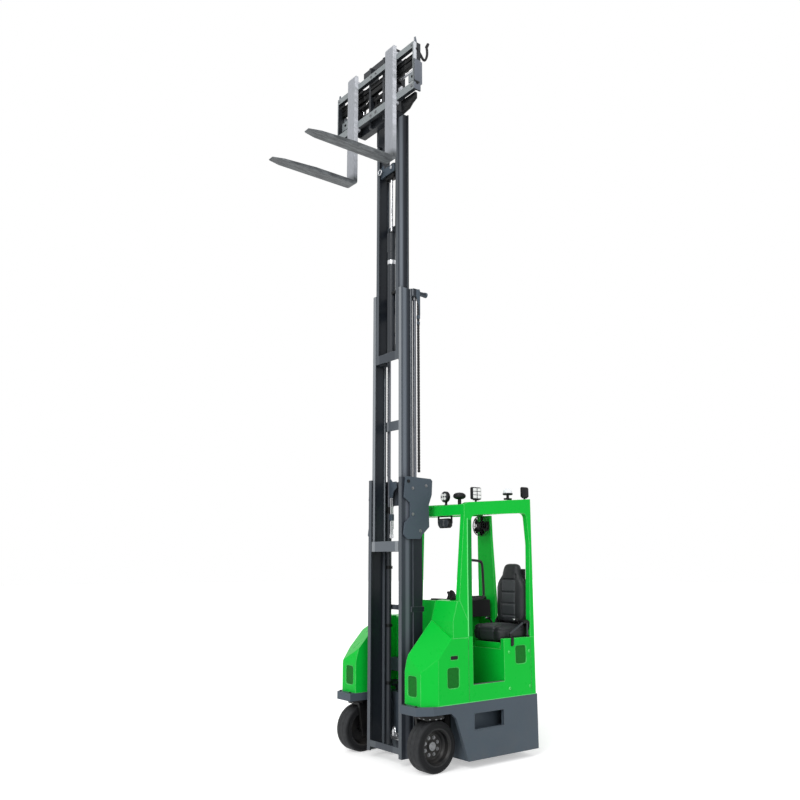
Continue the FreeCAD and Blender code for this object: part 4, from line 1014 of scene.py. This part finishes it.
# Lamps, beacon, fan and mirror
def make_lamps():
    p = Piece("lamp_housings", black_plastic, replaced=["roof_lamps"])
    p.lathe([(0, 0), (0, 46), (6, 50), (30, 50), (34, 44), (37, 44), (40, 34), (44, 34), (48, 20), (50, 0)],
            (348, 346, 2262), BACK, 40)
    p.plate([(336, 2179), (336, 2190), (343, 2196), (343, 2215), (353, 2215), (353, 2196), (360, 2190), (360, 2179)],
            "y", 360, 382, 1)
    p.rod((520, 380, 2179.5), (520, 380, 2236), 16)
    p.lathe([(0, 0), (4, 34), (16, 53), (30, 58), (46, 52), (58, 34), (63, 0)], (520, 380, 2230), UP, 40)
    for y0, y1, z0, z1 in ((427, 543, 2227, 2338), (1062, 1150, 2274, 2373)):
        p.box((604, y0, z0), (636, y1, z1), 12)
        for i in range(5):
            y = y0 + 14 + i * (y1 - y0 - 34) / 4
            p.box((597, y, z0 + 12), (606, y + 6, z1 - 12), 1)
        middle = (y0 + y1) / 2
        fork = [(-30, 20), (-30, -6), (30, -6), (30, 20), (22, 20), (22, 2), (-22, 2), (-22, 20)]
        p.plate([(middle + y, z0 + z) for y, z in fork], "x", 612, 626)
        p.rod((619, middle, z0 - 19), (619, middle, z0 - 4), 10, segments=12)
    p.box((580, 870, 2245.5), (620, 940, 2262), 3)
    p.rod((600, 905, 2262), (600, 905, 2296), 13)
    p.lathe([(0, 0), (0, 40), (4, 46), (16, 46), (16, 0)], (600, 905, 2290), UP, 40)
    p = Piece("lamp_lenses", smoked)
    p.lathe([(0, 0), (0, 44), (-3, 41), (-5, 0)], (348, 346, 2262), BACK, 40)
    p.box((635, 435, 2235), (638.5, 535, 2330), 1)
    p.box((610, 1149.5, 2286), (630, 1152.5, 2361), 1)
    p = Piece("lamp_cells", lit_cell)
    for x in (-16, 16):
        for z in (-16, 16):
            p.lathe([(0, 0), (0, 14.5), (-3, 14.5), (-3, 0)], (348 + x, 342, 2262 + z), BACK, 20)
    for y in (459, 511):
        for z in (2252, 2283, 2314):
            p.box((637, y - 21, z - 13), (641, y + 21, z + 13), 2)
    p = Piece("beacon_dome", lens, sharp=60, replaced=["beacon"])
    p.lathe([(16, 0), (16, 41), (26, 42.5), (38, 40), (50, 33), (60, 20), (64, 0)], (600, 905, 2290), UP, 40)
    p = Piece("flood_housing", black_plastic, replaced=["floodlight"])
    hull = [(262, 2050), (292, 2068), (405, 2068), (432, 2040), (412, 1982), (290, 1982), (266, 2010)]
    p.plate(hull, "y", 338, 372, 6)
    p.plate([(350 + (x - 350) * 0.8, 2026 + (z - 2026) * 0.8) for x, z in hull], "y", 371, 392, 4)
    for i in range(6):
        x = 296 + i * 20
        p.box((x, 389, 2000), (x + 6, 394.5, 2052), 1)
    for x in (256, 434):
        p.box((x, 346, 2030), (x + 6, 366, 2091), 1)
    p.box((256, 346, 2083), (440, 366, 2090.5), 1)
    p = Piece("flood_lens", smoked)
    p.plate([(350 + (x - 350) * 0.86, 2026 + (z - 2026) * 0.8) for x, z in hull], "y", 333, 339, 1)
    p = Piece("fan_guard", black_plastic, replaced=["cab_fan"])
    x0, y0, z0 = 80, 1030, 2030

    def on_fan(a, reach, depth, aside=0):
        """The place that far from the fan's middle at an angle, behind it and to the side."""
        return (x0 + math.cos(a) * reach - math.sin(a) * aside, y0 + depth,
                z0 + math.sin(a) * reach + math.cos(a) * aside)

    for r, y in ((98, 1040), (96, 1030), (78, 1022), (58, 1018), (38, 1016), (98, 1068), (70, 1068)):
        p.ring((x0, y, z0), BACK, r, 2.2)
    for a in around(12):
        p.tube([on_fan(a, 25, -16), on_fan(a, 70, -13), on_fan(a, 98, 2), on_fan(a, 97, 38)], 1.8, 8)
    p.lathe([(0, 0), (0, 24), (6, 30), (10, 30), (12, 0)], (x0, 1012, z0), BACK, 32)
    p.lathe([(0, 0), (0, 46), (12, 50), (40, 46), (50, 34), (52, 0)], (x0, 1046, z0), BACK, 32)
    for a in around(5):
        pairs = [[p.bm.verts.new(metres(on_fan(a, reach, 12 + s * twist, s * wide))) for s in (-1, 1)]
                 for reach, wide, twist in ((20, 10, 8), (50, 24, 8), (80, 30, 6), (90, 18, 4))]
        blade = [p.bm.faces.new((a0, a1, b1, b0)) for (a0, a1), (b0, b1) in zip(pairs, pairs[1:])]
        bmesh.ops.solidify(p.bm, geom=blade, thickness=0.002)
    p.box((62, 1084, 2012), (98, 1124.5, 2048), 4)
    p.box((45, 1118, 1985), (115, 1125, 2075), 2)
    p = Piece("mirror_head", black_plastic, sharp=50, replaced=["dash_mirror"])
    p.oval((494, 305, 1392), (40, 14, 56), 16)
    p.tube([(507, 290, 1360), (507, 290, 1378), (508, 296, 1392), (510, 304, 1398)], 7)
    p.rod((507, 290, 1359.5), (507, 290, 1368), 13)
    p = Piece("mirror_glass", bright_steel, sharp=50)
    p.oval((494, 317, 1392), (34, 3, 49), 12)


# Body trim: bolts, seams, a strip of painted shade, lines of painted highlight, rear grille, tail lamps, tow pin,
# pocket rims, steering rams and valve block
def make_body_trim():
    p = Piece("panel_bolts", green)
    for y, z in ((826, 905), (1078, 900), (826, 600), (1078, 600)):
        p.bolt((HALF_WIDTH, y, z), LEFT, 18)
    for y, z in ((420, 1140), (420, 1060), (1070, 1130), (1070, 1060)):
        p.bolt((-HALF_WIDTH, y, z), (-1, 0, 0), 16)
    for x in (-580, 580):
        for z in (580, 980):
            p.bolt((x, REAR_Y, z), BACK, 18)
    # Painted shade: a dark green strip over the front post's side face, where it is in shade
    p = Piece("post_shade_strip", shaded_green)
    p.plate([(354, 1062), (396, 1062), (398, 1600), (402, 2045), (360, 2045), (355, 1600)], "x", 644, 646.2)
    # Painted highlight: light green lines along the front post and along the bottom edges of both sides
    p = Piece("highlight_lines", highlight_green)
    p.plate([(343, 1062), (354, 1062), (355, 1600), (360, 2060), (350, 2060), (344, 1600)], "x", 644, 646.6)
    for side in (1, -1):
        p.box((side * 644, 20, 527.2), (side * 646.2, 1160, 531.2))
    p = Piece("panel_gaps", black_plastic)
    for side in (1, -1):
        p.box((side * 644.5, 1099, 530), (side * 645.4, 1101.2, 1019 if side > 0 else 1018))
        p.box((side * 644.5, 346, 530), (side * 645.4, 348, 1040))
    p.box((-645.4, 720, 530), (-644.5, 722, 1150))
    p.box((-615, 720, 1179.5), (-52, 722, 1180.4))
    p.box((-360, 380, 1179.5), (-358, 1080, 1180.4))
    p.box((-620, REAR_Y - 0.5, 760), (620, REAR_Y + 0.4, 762))
    p = Piece("rear_grilles", mesh_sheet)
    p.vent((0, REAR_Y + 1, 895), 740, 170, "y", 25)
    for y in (480, 900):
        p.vent((-HALF_WIDTH - 1, y, 860), 200, 150, "x", 20)
    p = Piece("rear_trim", black_plastic)
    for x in (-360, 360):
        p.box((x - 30, REAR_Y - 2, 640), (x + 30, REAR_Y + 10, 720), 5)
    p.box((-360, 590, 1179), (-200, 640, 1188), 4)
    p.rod((-500, 950, 1178), (-500, 950, 1200), 45, 40, 40)
    p.rod((-500, 950, 1199), (-500, 950, 1210), 18, 16, 6)
    p = Piece("tail_lamps", red_plastic)
    for x in (-540, 540):
        p.box((x - 35, REAR_Y - 1, 640), (x + 35, REAR_Y + 12, 720), 6)
    p = Piece("tow_pin", bolt_steel)
    for z in (200, 300):
        p.box((-55, REAR_Y - 1, z), (55, REAR_Y + 30, z + 14), 3)
    p.rod((0, REAR_Y + 16, 190), (0, REAR_Y + 16, 340), 10)
    p.rod((0, REAR_Y + 16, 338), (0, REAR_Y + 16, 348), 17)
    p = Piece("pocket_rims", slate, slot="grey_paint", sides=BOTH)
    for y0, y1, z0, z1 in ((396, 749, 302, 308), (396, 749, 435, 441), (396, 402, 308, 435), (743, 749, 308, 435)):
        p.box((640, y0, z0), (647.5, y1, z1), 1)
    p = Piece("steering_rams", black_metal, sides=BOTH)
    for x in (400, 550):
        p.bolt((x, -150, 527), UP, 20)
    p.rod((300, 240, 400), (410, 120, 405), 18)
    p.rod((405, 125, 405), (428, 100, 405), 9)
    p.rod((300, 240, 380), (300, 240, 425), 20)
    p.box((283, 222, 392), (302, 258, 412), 2)
    p = Piece("valve_block", black_plastic)
    p.box((-420, 318, 150), (420, 332.5, 500), 5)
    for x in (-335, -305, -15, 35, 285, 345):
        p.tube([(x, 316, 180), (x + 10, 298, 260), (x - 6, 296, 400), (x, 316, 470)], 9.5)
    for x in (-375, 110):
        p.rod((x, 300, 300), (x, 300, 420), 16)


make_camera()
make_light()
make_floor()
make_wheels()
make_vents()
make_carriage()
make_mast_fittings()
make_seat()
make_cab()
make_lamps()
make_body_trim()
for piece in Piece.made:
    finished(piece.bm, *piece.labels)

scene.view_settings.view_transform = "Standard"
